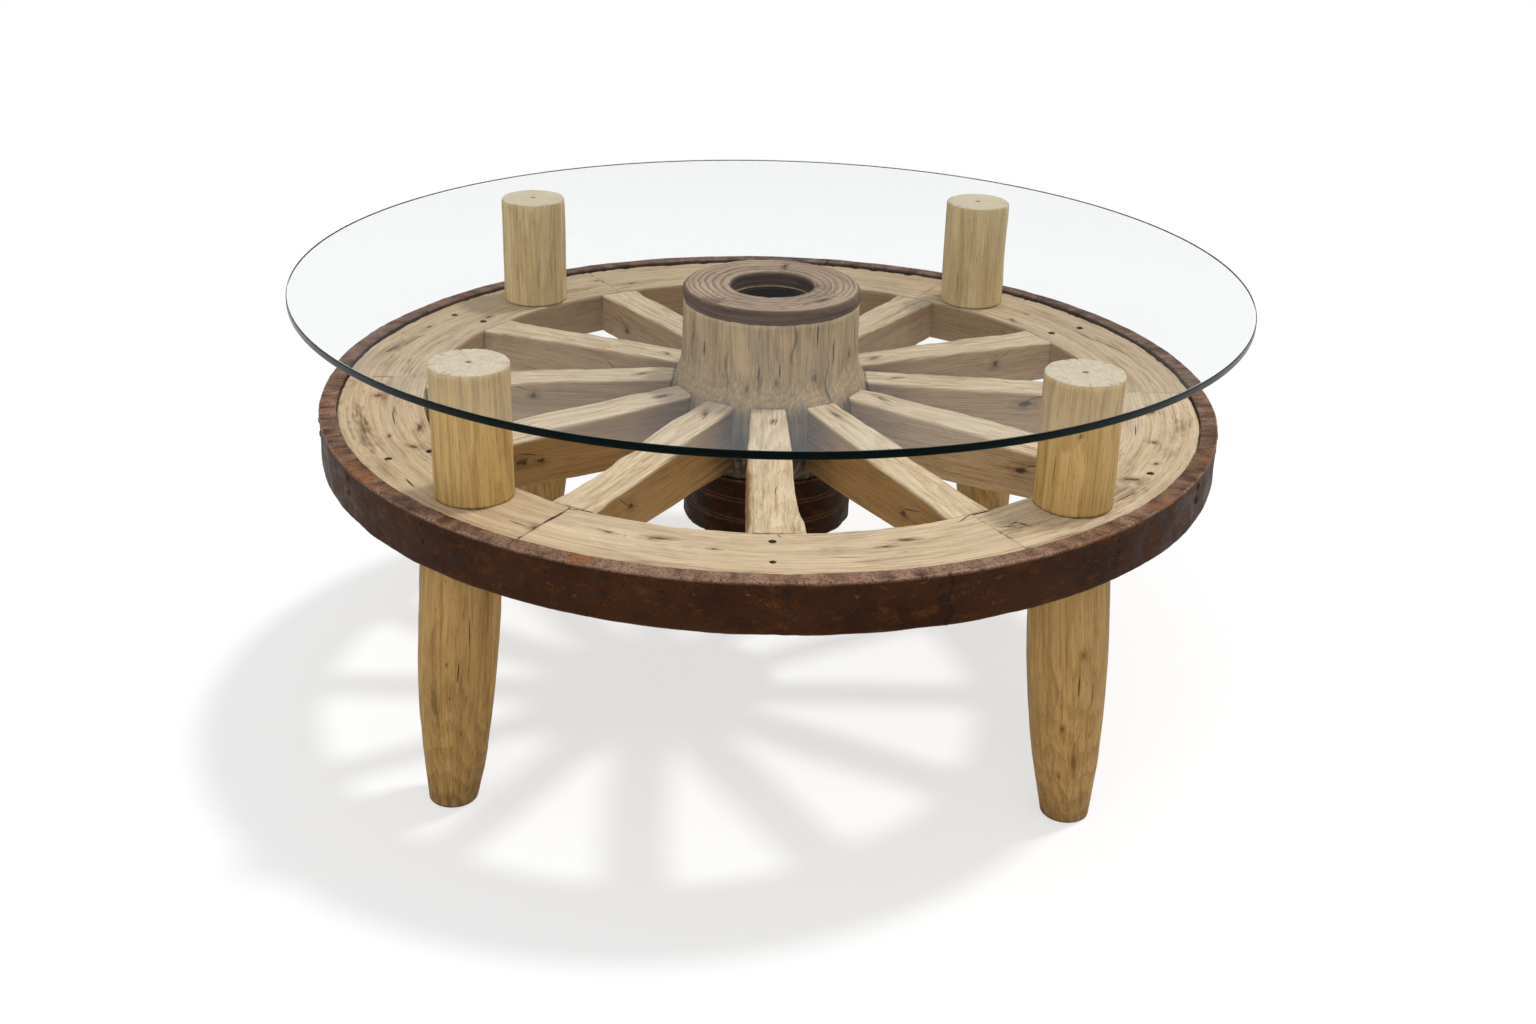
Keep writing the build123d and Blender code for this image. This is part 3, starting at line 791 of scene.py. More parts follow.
# ------------------------------------------------------------ tyre
def tyre():
    """Rolled bar bent to a hoop: hammered faces, a burred upper lip and a welded scarf; the lip is paled partly by
    rubbing and partly by a painted sheen, and the inner face carries painted shade.
    """
    inner = TYRE_RADIUS - TYRE_THICKNESS
    rows = revolved(hoop_profile(inner, TYRE_RADIUS, TYRE_LOW, TYRE_HIGH, 2.2 * MM, 2.2 * MM), 1080)
    level = (rows[..., 2] - TYRE_LOW) / (TYRE_HIGH - TYRE_LOW)
    across = (radius_of(rows) - inner) / TYRE_THICKNESS
    bearing = np.degrees(bearing_of(rows)) % 360
    lumps = 0.30 * waves(rows, (0.09, 0.09, 0.05), 61) + 0.13 * waves(rows, 0.018, 62)
    lip = smooth(level, 0.93, 1.0)
    burr = waves(rows, (0.007, 0.007, 0.02), 63, 26) + 0.8 * waves(rows, 0.02, 64)
    seam_bearing = 289.6 + 0.25 * np.sin(rows[..., 2] * 240)
    seam = smooth(np.abs(bearing - seam_bearing), 0.30, 0.05) * smooth(across, 0.9, 1.0)
    edges = np.maximum(smooth(across, 0.16, 0.0), smooth(across, 0.86, 1.0))
    rows = pushed(rows, (lumps * 0.7 - 0.10 * np.abs(burr) * lip * (0.4 + edges) - 0.7 * seam) * MM)
    rows[..., 2] = np.clip(rows[..., 2], TYRE_LOW, TYRE_HIGH)
    # The lip's painted sheen is strongest at the front, where it stands in for a reflection.
    front = smooth(np.abs(bearing - 276), 62, 8)
    streaks = 0.20 * waves(rows, (0.03, 0.03, 0.02), 65, 26) + 0.17 * waves(rows, 0.008, 66, 26)
    paling_and_highlight = lip * (0.42 + 0.34 * front + 0.24 * edges + streaks)
    # A thin painted highlight along the outer edge of the lip, and a paler foot.
    paling_and_highlight += 0.30 * smooth(across, 0.90, 1.0) * smooth(level, 0.94, 0.985) + 0.22 * smooth(level, 0.05, 0)
    # Painted shade on the inner face against the felloe; the scarf darker.
    fields = {
        "paling_and_highlight": np.clip(paling_and_highlight, 0, 1),
        "soil_and_shade": np.clip(0.55 * smooth(across, 0.10, 0.0) + 0.65 * seam, 0, 1),
    }
    return stand_for(grid_mesh("forged_tyre", rows, fields, hoop=True), "tyre", TYRE_IRON)


# ------------------------------------------------------------ spokes
SPOKE_SECTION = section(22, 26, 6)
SPOKE_STATIONS = 150


def tall_section(half_wide, half_tall, corner, pattern):
    """Rings of a bar: (across, up) of each station's rounded rectangle."""
    centre_across, centre_up, normal_across, normal_up = pattern
    across = centre_across * (half_wide - corner) + corner * normal_across
    up = centre_up * (half_tall - corner) + corner * normal_up
    return across, up


def corner_radii(stations, usual, extra, pattern, seed):
    """Each station's rounding, which differs from corner to corner and along the bar."""
    centre_across, centre_up = pattern[:2]
    radii = 0
    for turn, (side, level) in enumerate(((1, 1), (-1, 1), (-1, -1), (1, -1))):
        line = np.stack([stations, 0 * stations, 0 * stations], -1)
        worn = 0.6 * waves(line, 0.11, seed + turn) + 0.4 * waves(line, 0.028, seed + 10 + turn)
        radius = usual + extra * np.clip(0.35 + worn, 0, 2.2) * (1.0 if level > 0 else 0.4)
        weight = (1 + side * centre_across) / 2 * (1 + level * centre_up) / 2
        radii = radii + radius[:, None] * weight
    return radii


# A spoke's half width at the hub, its growth to the rim and its flare there, and its half
# height at the hub and how much of it is lost on the way to the rim.
SPOKE_WIDE, SPOKE_GROWTH, SPOKE_FLARE = 18.5, 4.5, 2.5      # mm
SPOKE_TALL, SPOKE_TAPER = 34 * MM, 10 * MM
TENON_WIDE, TENON_TALL = 9 * MM, 21 * MM      # half sizes of a spoke's square tenon
TENON_LENGTH, TONGUE_LENGTH, TONGUE_RADIUS = 39 * MM, 73.8 * MM, 13 * MM
FRONT_SPOKES = (8, 9, 10, 11)                 # spokes in front: no painted paling on their sides, and more painted shade near the hub

# Spoke number: how much wider one hewn unlike the others is, in mm at distances from the hub's
# axis, on its clockwise side (-1) and on the other (1), and how far its clockwise top corner is cut.
SPOKE_SHAPES = {
    10: ({1: ((113, 195, 251, 308, 345, 366, 394), (-2.0, 0.0, 0.7, 2.0, 3.0, 7.5, 8.5)),
          -1: ((113, 200, 300, 350, 394), (3.0, 3.5, 3.5, 1.5, -1.5))},
         ((113, 200, 300, 340, 394), (1.0, 3.0, 8.0, 8.5, 4.0))),
}

# Spoke number: knots and cracks on its sides, (x, side, height above its middle, half length,
# half height, turn), side -1 lying clockwise of it. The others get one at random.
SIDE_KNOTS = {
    1: ((295, -1, 12, 9, 3.5, 10),),
    8: ((298, 1, -2, 5, 3.5, 0), (320, 1, -1, 8, 5, 5)),
    9: ((325, 1, 2, 6.5, 4.5, 35),),
    11: ((310, -1, -7, 5, 3.5, 0),),
    12: ((323, -1, 1, 8, 5, 0),),
}


def spoke_marks(index, draw):
    """Knots and cracks of one spoke: a dark gash on top near the nave, and knots on its sides."""
    top = 33.5
    at, off = draw.uniform(138, 146), draw.uniform(-4, 4)
    spots = [(at, off, top, draw.uniform(5, 9), draw.uniform(1.8, 2.8), 9, draw.uniform(-25, 25))]
    cracks = [
        (at + 3, off + 3, top, draw.uniform(11, 16), 0.8, 6, draw.uniform(-16, 16)),
        (draw.uniform(190, 350), draw.uniform(-9, 9), 27, draw.uniform(12, 26), 0.6, 6, draw.uniform(-7, 7)),
    ]
    random = tuple(
        (draw.uniform(180, 350), side, draw.uniform(-14, 14),
         draw.uniform(4, 8), draw.uniform(2.5, 5), draw.uniform(-20, 20))
        for side in (-1, 1)
    )
    for x, side, height, half_length, half_height, turn in SIDE_KNOTS.get(index + 1, random):
        spots.append((x, 20 * side, height, half_length, 8, half_height, turn))
        cracks.append((x + 14, 20 * side, height + 9, draw.uniform(9, 20), 8, 0.7, draw.uniform(8, 40)))
    return spots, cracks


def spoke_rows(index, seed):
    """Rings of a spoke along +X, and the level of its top at each ring.

    A bar tapered, flared in an S to the felloe, and dished. Its inner end follows the
    barrel, its outer end the rim, and a square tenon and a round tongue run on from them.
    Both sides and the top wander a little, as hewn.
    """
    t = np.linspace(0, 1, SPOKE_STATIONS)
    start, end = BELLY_RADIUS, RIM_INNER
    x = start + (end - start) * t
    flare = smooth(x, end - 34 * MM, end - 6 * MM)
    nose = np.clip(x - start, 0, 6 * MM)
    half_wide = (SPOKE_WIDE + SPOKE_GROWTH * (1 - (1 - t) ** 2) + SPOKE_FLARE * flare) * MM
    half_wide = half_wide - (6 * MM - np.sqrt(12 * MM * nose - nose**2)) * 0.75
    half_tall = SPOKE_TALL - SPOKE_TAPER * t
    middle = NAVE_LEVEL + (FELLOE_MIDDLE - NAVE_LEVEL) * t
    corner = corner_radii(x, 1.7 * MM, 1.6 * MM, SPOKE_SECTION, seed)
    swell, chamfered = SPOKE_SHAPES.get(index + 1, ({}, ((0, 0), (1, 0))))
    left_top = (1 - SPOKE_SECTION[0]) / 2 * (1 + SPOKE_SECTION[1]) / 2
    corner = corner + np.interp(x / MM, *chamfered)[:, None] * left_top * MM
    across, up = tall_section(half_wide[:, None], half_tall[:, None], corner, SPOKE_SECTION)
    for side, places in swell.items():
        across = across + side * smooth(side * across, 0, 14 * MM) * np.interp(x / MM, *places)[:, None] * MM
    line = np.stack([x, 0 * x, 0 * x], -1)
    inner_part = smooth(t, 0.0, 0.06) * smooth(t, 1.0, 0.94)
    for side in (-1, 1):
        sway = (0.40 * waves(line, 0.12, seed + 3 + side) + 0.20 * waves(line, 0.045, seed + 6 + side)) * inner_part
        across = across + side * smooth(side * across, 0, 12 * MM) * (sway * MM)[:, None]
    rise = (0.35 * waves(line, 0.13, seed + 9) + 0.18 * waves(line, 0.04, seed + 8)) * inner_part
    up = up + smooth(up, 0, 20 * MM) * (rise * MM)[:, None]
    z = up + middle[:, None]
    inner = barrel_radius(z) - OVERLAP
    outer = np.sqrt(RIM_INNER**2 - across**2) + 0.3 * MM
    body = np.stack([inner * (1 - t[:, None]) + outer * t[:, None], across, z], -1)

    turn = np.arctan2(up[0], across[0])
    c, s = np.cos(turn), np.sin(turn)
    square = np.maximum(np.abs(c) / TENON_WIDE, np.abs(s) / TENON_TALL)
    tenon = np.stack([0 * turn, c / square, s / square + NAVE_LEVEL], -1)
    tongue = np.stack([0 * turn, TONGUE_RADIUS * c, TONGUE_RADIUS * s + FELLOE_MIDDLE], -1)
    hub_end, tongue_end, along = start - TENON_LENGTH, end + TONGUE_LENGTH, np.array([1, 0, 0])
    rows = np.concatenate([
        [0 * tenon + (hub_end, 0, NAVE_LEVEL)],
        [tenon + hub_end * along],
        [tenon + (start - 2 * MM) * along],
        body,
        [tongue + (end - 0.1 * MM) * along],
        [tongue + tongue_end * along],
        [0 * tongue + (tongue_end, 0, FELLOE_MIDDLE)],
    ])
    fibres = 0.10 * waves(rows, (0.08, 0.006, 0.006), seed + 12)
    rows[3:-3, :, 1] += np.sign(rows[3:-3, :, 1]) * fibres[3:-3] * MM
    rows[3:-3, :, 2] += np.sign(rows[3:-3, :, 2] - NAVE_LEVEL) * fibres[3:-3] * MM
    return rows, (middle + half_tall)[[0, 0, 0, *range(SPOKE_STATIONS), -1, -1, -1]]


def spoke(index):
    """Hewn spoke turned to its bearing, bleached on top, with grime and painted shade towards the hub, painted contact
    shade where it meets the hub and the rim, and, on all but the front spokes, sides paled by a painted reflection.
    """
    seed, in_front = 100 + 30 * index, index + 1 in FRONT_SPOKES
    rows, top_level = spoke_rows(index, seed)
    top = smooth(top_level[:, None] - rows[..., 2], 5 * MM, 1.2 * MM)
    from_hub = rows[..., 0] - barrel_radius(rows[..., 2])
    # Sides darker towards the hub: grime and painted shade, more on the front spokes; painted contact shade where it
    # meets the hub and the rim.
    grime_and_shade = (0.62 if in_front else 0.38) * smooth(from_hub, 100 * MM, 0) * (1 - 0.9 * top)
    grime_and_shade += 0.8 * smooth(from_hub, 2.5 * MM, 0)
    grime_and_shade += 0.75 * smooth(rows[..., 0], RIM_INNER - 2.5 * MM, RIM_INNER - 0.5 * MM)
    draw = np.random.default_rng(seed)
    spots, cracks = spoke_marks(index, draw)
    pith = (draw.uniform(-0.03, 0.03), draw.uniform(0.05, 0.14) * draw.choice((-1, 1)))
    place = rows - (0, 0, NAVE_LEVEL)
    # Sides of the spokes behind the front ones are paled: a painted reflection.
    fields = timber_fields(
        in_timber(place, [0, 1, 2], seed, pith), grime_and_shade, np.maximum(top, 0 if in_front else 0.35),
        place, spots, cracks, fleck=0.25,
    )
    rows = turned_about_z(rows, WHEEL_TURN + 360 / SPOKE_COUNT * index)
    piece = grid_mesh(f"hewn_spoke_{index + 1}", rows, fields)
    return stand_for(piece, f"spoke_{index + 1}", SPOKE_WOOD)


# ------------------------------------------------------------ felloes
FELLOE_SECTION = section(44, 16, 6)
FELLOE_STATIONS = 230
FELLOE_HALF_WIDE, FELLOE_HALF_TALL = (RIM_OUTER - RIM_INNER) / 2, (FELLOE_HIGH - FELLOE_LOW) / 2

# Felloe number: knots and gashes on its top face (along, across, half length, half breadth, turn),
# measured from its first end and from its middle circle, and cracks the same way.
TOP_KNOTS = {
    1: ((302, -34, 6, 2.5, 20), (309, -1, 4, 1.6, 0)),
    2: ((430, -21, 6, 3, 10),),
    3: ((368, 22, 16, 4, 12), (284, 18, 7, 3, 0), (211, -21, 4, 3, 0), (6, 10, 4, 2, 0)),
    4: ((44, 4, 5, 4, 0), (172, 0, 5, 2, 25), (211, -16, 7, 3, -30), (157, -35, 12, 3.5, 15), (461, 12, 5, 4, 40)),
    5: ((117, -16, 10, 3, -8), (65, -13, 6, 2, 10), (175, -6, 4, 2, 0), (367, -17, 9, 2.6, 4), (341, -7, 6, 1.6, 0)),
    6: ((412, -3, 6, 4, 15), (318, 1, 4, 3.4, 0), (257, 15, 4, 2.8, 20), (207, 7, 10, 4, 50), (31, -2, 5, 1.6, 60)),
}
TOP_CRACKS = {
    1: ((215, 5, 40, 1.0, -4), (150, 15, 32, 1.0, -8)),
    2: ((240, 12, 26, 0.8, 3),),
    3: ((330, 10, 28, 0.8, 8), (60, -12, 20, 0.8, -4)),
    4: ((297, 26, 14, 1.3, 10), (455, -50, 9, 0.9, 45), (441, 13, 13, 1.0, 6), (120, -12, 30, 0.9, 2)),
    5: ((8, -44, 12, 0.9, -30), (238, -41, 5, 1.1, 60), (452, -43, 18, 0.9, -20), (300, 8, 22, 0.7, 3)),
    6: ((12, -6, 12, 1.0, 35), (24, -9, 9, 1.1, -10), (160, 22, 24, 0.8, 5), (350, -22, 22, 0.8, -3)),
}
FLECKS = {3: 0.3, 4: 1.3, 5: 0.2, 6: 0.5}   # felloe number: how much thicker its dashes lie in patches
BLEACHED = {1: 0.80, 2: 0.76, 3: 0.78, 4: 0.72}   # felloe number: how far its top has bleached, 1 for the others

# Felloe number: soft brown patches on its top face, (along, across, half length, half breadth, depth).
TOP_PATCHES = {
    3: ((350, 18, 60, 10, 0.30),),
    4: ((150, 26, 60, 12, 0.45), (250, 30, 40, 10, 0.25), (270, -24, 40, 9, 0.40), (230, -30, 30, 8, 0.35)),
    5: ((120, 10, 60, 8, 0.16), (230, -28, 60, 8, 0.14)),
    6: ((176, 16, 34, 14, 0.42), (290, 22, 26, 9, 0.30), (368, 26, 30, 9, 0.30)),
}
OPEN_JOINT = 4                # joint after this felloe has opened, the others are tight


def felloe_marks(index, draw):
    """Knots and cracks of one felloe's top face, and small ones at random on its other faces."""
    top = FELLOE_HALF_TALL / MM
    spots = [(x, y, top, a, b, 12, turn) for x, y, a, b, turn in TOP_KNOTS[index + 1]]
    cracks = [(x, y, top, a, b, 9, turn) for x, y, a, b, turn in TOP_CRACKS[index + 1]]
    for side in (-47, 47):
        place = draw.uniform(60, 400), side, draw.uniform(-15, 15)
        spots.append((*place, draw.uniform(4, 8), 9, draw.uniform(2, 4), draw.uniform(-10, 10)))
    return spots, cracks


def capped(rings):
    """Rings with both ends closed: a smaller ring and a point in the middle of each end ring."""
    ends = rings[[0, -1]]
    middles = ends.mean(1, keepdims=True)
    smaller, points = middles + (ends - middles) * 0.55, middles + 0 * ends
    return np.concatenate([points[:1], smaller[:1], rings, smaller[1:], points[1:]])


def felloe_rows(index, seed):
    """Rings of a felloe, the same rings unbent as (along, across, up), and its length.

    A bar bent round the rim: its ring is a rounded rectangle across and up. The outer top
    edge is ragged where the tyre was driven on, and the face has hollows.
    """
    gaps = [np.degrees((0.2 if joint == OPEN_JOINT else 0.05) * MM / RIM_MIDDLE) for joint in (index, index + 1)]
    first = WHEEL_TURN + 360 / FELLOE_COUNT * index
    bearing = np.linspace(first + gaps[0], first + 360 / FELLOE_COUNT - gaps[1], FELLOE_STATIONS)
    along = np.radians(bearing - first) * RIM_MIDDLE
    corner = corner_radii(along, 1.6 * MM, 1.3 * MM, FELLOE_SECTION, seed)
    across, up = tall_section(FELLOE_HALF_WIDE, FELLOE_HALF_TALL, corner, FELLOE_SECTION)
    local = np.stack([along[:, None] + 0 * across, across, up], -1)
    top = smooth(up, FELLOE_HALF_TALL - 3 * MM, FELLOE_HALF_TALL - 0.5 * MM)
    hollow = 0.35 * waves(local, (0.12, 0.05, 0.05), seed + 1) + 0.22 * waves(local, (0.05, 0.012, 0.05), seed + 2)
    ragged = np.clip(waves(local, (0.012, 0.02, 0.02), seed + 3, 24) - 0.4, 0, 2)
    ragged *= smooth(across, FELLOE_HALF_WIDE - 7 * MM, FELLOE_HALF_WIDE - 1 * MM) * top
    up = up + top * (np.minimum(hollow, 0.6) * MM - 0.9 * MM * ragged)
    inside = smooth(across, -FELLOE_HALF_WIDE + 4 * MM, -FELLOE_HALF_WIDE + 1 * MM)
    across = across + inside * 0.35 * MM * waves(local, (0.09, 0.05, 0.05), seed + 4)
    radius, angle = RIM_MIDDLE + across, np.radians(bearing)[:, None]
    rows = capped(np.stack([radius * np.cos(angle), radius * np.sin(angle), up + FELLOE_MIDDLE], -1))
    return rows, capped(np.stack([local[..., 0], across, up], -1)), along[-1]


def felloe(index):
    """Sawn felloe, bleached on top, with grime at its joints, brown patches on its face, and painted shade on its
    outer side against the tyre.
    """
    seed = 600 + 30 * index
    rows, local, whole = felloe_rows(index, seed)
    along, across, up = (local[..., axis] for axis in range(3))
    end_line = sum(
        (0.85 if joint == OPEN_JOINT else 0.30) * smooth(distance, 1.6 * MM, 0.2 * MM)
        for joint, distance in ((index, along), (index + 1, whole - along))
    )
    top = smooth(up, FELLOE_HALF_TALL - 4 * MM, FELLOE_HALF_TALL - 1 * MM)
    edge = smooth(across, FELLOE_HALF_WIDE - 3.5 * MM, FELLOE_HALF_WIDE - 0.5 * MM)
    blotch = 0.35 * waves(local, (0.02, 0.006, 0.02), seed + 8)
    brown = 0
    for x, y, half_length, half_breadth, depth in TOP_PATCHES.get(index + 1, ()):
        apart = np.hypot((along / MM - x) / half_length, (across / MM - y) / half_breadth)
        brown = np.maximum(brown, depth * smooth(apart + blotch, 1.2, 0.2) * top)
    pale_edge = 0.6 * smooth(across, FELLOE_HALF_WIDE - 6 * MM, FELLOE_HALF_WIDE - 3.5 * MM) * top
    paling_and_highlight = smooth(up, FELLOE_HALF_TALL - 5 * MM, FELLOE_HALF_TALL - 1.2 * MM) * (1 + 0.35 * pale_edge)
    patches = smooth(waves(local, (0.11, 0.05, 0.05), seed + 7), -0.2, 0.9)
    draw = np.random.default_rng(seed)
    spots, cracks = felloe_marks(index, draw)
    pith = (draw.uniform(-0.04, 0.04), -draw.uniform(0.05, 0.10))
    # Dark joints, painted shade on the outer side against the tyre, and brown patches on top.
    fields = timber_fields(
        in_timber(local, [0, 1, 2], seed, pith), end_line + 0.7 * edge * (1 - top) + brown * (1 - pale_edge),
        BLEACHED.get(index + 1, 1) * paling_and_highlight, local, spots, cracks, fleck=0.45 + FLECKS.get(index + 1, 0) * patches,
    )
    piece = grid_mesh(f"sawn_felloe_{index + 1}", rows, fields)
    return stand_for(piece, f"felloe_{index + 1}", FELLOE_WOOD)


# ------------------------------------------------------------ posts and legs
def scattered(draw, count, low, high):
    """Small knots at random on a turned piece: height, bearing, half sizes and turn."""
    return [
        (draw.uniform(low, high), draw.uniform(-170, 170),
         draw.uniform(2, 4.5), draw.uniform(1.2, 2.4), draw.uniform(-20, 20))
        for _ in range(count)
    ]


def split(draw, count, low, high):
    """Fine upright cracks at random on a turned piece, spread evenly round it."""
    return [
        (draw.uniform(low, high), -175 + 350 * (number + draw.uniform(0.1, 0.9)) / count,
         draw.uniform(8, 24), draw.uniform(0.25, 0.5), draw.uniform(-3, 3))
        for number in range(count)
    ]


# Radii of the tenons, and of a leg at its foot, its belly and its top.
POST_TENON_RADIUS, LEG_TENON_RADIUS = 15 * MM, 17 * MM
LEG_FOOT, LEG_BELLY, LEG_TOP = 25.5 * MM, 42.5 * MM, 41.5 * MM
LEG_BELLY_LEVEL, LEG_TENON_LENGTH = 215 * MM, 22.5 * MM
LEG_SKIN = 40 * MM            # radius at which a leg's marks are laid out
# Knots on the legs: (height, bearing, half length, half breadth, turn) in mm and degrees.
LEG_KNOTS = {
    "front_left": ((132, -116, 17, 3.4, -4), (140, -92, 1.4, 1.2, 0), (96, -74, 2.4, 1.2, 0), (178, -98, 1.4, 1.0, 0)),
    "front_right": ((205, -76, 4, 2, 0), (120, -104, 3, 2, 0), (80, -84, 12, 3, 3), (60, -110, 3, 2, 0)),
    "back_left": ((160, -100, 5, 2.5, 0), (90, 70, 16, 4, 0)),
    "back_right": ((190, -80, 5, 2.5, 0), (110, 90, 14, 4, 0)),
}


def post(corner, number):
    """Turned cylinder with a worn upper edge, radial checks and a lathe dimple on top."""
    node = f"post_{corner}"
    low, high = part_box(node)
    centre = np.array([(low.x + high.x) / 2, (low.y + high.y) / 2, 0])
    radius, foot = (high.x - low.x) / 2, FELLOE_HIGH
    seed = 900 + 20 * number
    tenon = [(0, low.z), (POST_TENON_RADIUS, low.z), (POST_TENON_RADIUS, foot)]
    side = [(radius - 1 * MM, foot), (radius, foot + 1 * MM), (radius, high.z)]
    dimple = [(3.5 * MM, high.z), (0.8 * MM, high.z - 3.6 * MM), (0, high.z - 4 * MM)]
    outline = rounded(tenon + side + dimple, 5, 2.5 * MM, 6)
    rows = revolved(resampled(outline, 2 * MM), 168)
    distance, bearing, level = radius_of(rows), np.degrees(bearing_of(rows)), rows[..., 2]
    face = smooth(level, high.z - 3 * MM, high.z - 1 * MM) * smooth(distance, 1 * MM, 5 * MM)
    side_part = smooth(distance, radius - 1.5 * MM, radius - 0.5 * MM)
    above = smooth(level, foot, foot + 2 * MM)
    lumps = 0.22 * waves(rows, (0.02, 0.02, 0.09), seed) + 0.08 * waves(rows, (0.005, 0.005, 0.05), seed + 1)
    draw = np.random.default_rng(seed)
    checks = 0
    for start in draw.uniform(-180, 180, 9):
        apart = np.radians(np.abs((bearing - start + 180) % 360 - 180)) * distance
        reached = radius * draw.uniform(0.45, 0.85)
        checks = np.maximum(checks, smooth(apart, 1.3 * MM, 0.2 * MM) * smooth(distance, reached, radius) * face)
    sawn = face * np.abs(waves(rows, 0.004, seed + 2))
    rows = pushed(rows, (lumps * side_part * above - 0.8 * checks - 0.12 * sawn) * MM)
    level = rows[..., 2]
    # Painted contact shade at the foot, where it meets the felloe; darker in the dimple and the checks.
    foot_line = smooth(level, foot + 3 * MM, foot)
    in_dimple = smooth(distance, 4 * MM, 2 * MM) * smooth(level, high.z - 6 * MM, high.z - 5 * MM)
    bleached = 0.95 if corner.startswith("back") else 0.1
    fields = timber_fields(
        in_timber(rows, [2, 0, 1], seed, tuple(draw.uniform(-0.010, 0.010, 2))),
        0.75 * foot_line + 0.9 * in_dimple + 0.5 * checks,
        bleached + 0.45 * smooth(level, high.z - 8 * MM, high.z - 1 * MM), unrolled(rows, radius),
        on_skin(scattered(draw, 2, 375, 475), radius), on_skin(split(draw, 5, 375, 475), radius),
    )
    piece = grid_mesh(f"turned_post_{corner}", rows + centre, fields)
    stand_for(piece, node, POST_WOOD)

    def on_top(middles):
        near_axis = radius_of(middles - centre) < 8 * MM
        return (middles[:, 2] > high.z - 1.2 * MM) | (near_axis & (middles[:, 2] > high.z - 6 * MM))

    return finish_some(piece, POST_END, on_top)


def leg(corner, number):
    """Turned barrel leg about its leaning axis, in level rings from the floor up.

    Its radius follows a long arc from the foot to the belly and a flatter one above.
    """
    node = f"leg_{corner}"
    seed = 1000 + 20 * number
    foot = next(m["pos_m"] for m in frame["record"]["mounts"] if m["name"] == f"foot_{corner}")
    foot = np.array([foot[0], foot[1], 0.0])
    head = foot / np.linalg.norm(foot) * SEAT_RADIUS + np.array([0, 0, FELLOE_LOW])
    fall = LEG_BELLY - LEG_FOOT
    lower_arc = (fall**2 + LEG_BELLY_LEVEL**2) / (2 * fall)
    upper_arc = ((LEG_BELLY - LEG_TOP) ** 2 + (FELLOE_LOW - LEG_BELLY_LEVEL) ** 2) / (2 * (LEG_BELLY - LEG_TOP))

    level = np.concatenate([np.linspace(0, 3, 5), np.linspace(5, FELLOE_LOW / MM, 150)]) * MM
    arc = np.where(level < LEG_BELLY_LEVEL, lower_arc, upper_arc)
    radius = LEG_BELLY - (arc - np.sqrt(arc**2 - (LEG_BELLY_LEVEL - level) ** 2))
    ease = 3 * MM
    radius = radius - np.where(level < ease, ease - np.sqrt(np.maximum(ease**2 - (ease - level) ** 2, 0)), 0)
    tenon_high = FELLOE_LOW + LEG_TENON_LENGTH
    level = np.concatenate([[0, 0], level, [FELLOE_LOW, tenon_high, tenon_high]])
    radius = np.concatenate([[0, radius[0] * 0.6], radius, [LEG_TENON_RADIUS, LEG_TENON_RADIUS, 0]])
    rows = revolved(np.stack([radius, level], -1), 180)
    side_part = smooth(level, 0, 6 * MM) * smooth(level, FELLOE_LOW + 1 * MM, FELLOE_LOW - 1 * MM)
    lumps = 0.40 * waves(rows, (0.03, 0.03, 0.14), seed) + 0.14 * waves(rows, (0.006, 0.006, 0.06), seed + 1)
    distance = radius_of(rows)
    outside = smooth(distance, 18 * MM, 24 * MM) * side_part[:, None]
    rows[..., :2] *= (1 + lumps * outside * MM / np.maximum(distance, 1 * MM))[..., None]
    draw = np.random.default_rng(seed)
    pith = tuple(draw.uniform(-0.012, 0.012, 2))
    cracks = [(170, -81, 14, 0.8, 2), *split(draw, 5, 30, 270)]
    level = rows[..., 2]
    # Darker towards the foot, and painted shade just under the felloe.
    grime_and_shade = 0.40 * smooth(level, 60 * MM, 0) + 0.5 * smooth(level, 5 * MM, 0)
    grime_and_shade += 0.7 * smooth(level, FELLOE_LOW - 3 * MM, FELLOE_LOW)
    fields = timber_fields(
        in_timber(rows, [2, 0, 1], seed, pith), grime_and_shade,
        smooth(level, 0.05, 0.30) * (0.45 if corner == "front_right" else 0.2), unrolled(rows, LEG_SKIN),
        on_skin(LEG_KNOTS[corner], LEG_SKIN, 25), on_skin(cracks, LEG_SKIN, 25),
    )
    lean = foot + (head - foot) * (rows[..., 2:3] / FELLOE_LOW)
    rows = np.concatenate([rows[..., :2] + lean[..., :2], rows[..., 2:3]], -1)
    return stand_for(grid_mesh(f"turned_leg_{corner}", rows, fields), node, LEG_WOOD)


# ------------------------------------------------------------ glass
def glass():
    """Round sheet: flat faces and an edge ground to a flattened half round.

    A ring close inside each arris keeps the faces' normals upright right up to it.
    """
    radius, arris = reach("glass_top"), 1.5 * MM
    flat = radius - arris - 0.2 * MM
    outline = [(0, GLASS_LOW), (radius, GLASS_LOW), (radius, GLASS_HIGH), (0, GLASS_HIGH)]
    outline = rounded(rounded(outline, 2, arris, 8), 1, arris, 8)
    outline = [outline[0], (flat, GLASS_LOW), *outline[1:-1], (flat, GLASS_HIGH), outline[-1]]
    rows = revolved(resampled(outline, 0.18), 720)
    piece = grid_mesh("glass_sheet", rows, {})
    stand_for(piece, "glass_top", CLEAR_GLASS, body="glass")
    return finish_some(piece, GLASS_EDGE, lambda middles: radius_of(middles) > radius - 1.2 * MM)


hub_barrel()
hub_cap()
for band in (1, 2, 3):
    hub_band(band)
tyre()
for index in range(SPOKE_COUNT):
    spoke(index)
for index in range(FELLOE_COUNT):
    felloe(index)
for number, corner in enumerate(CORNER_NAMES):
    post(corner, number)
    leg(corner, number)
glass()

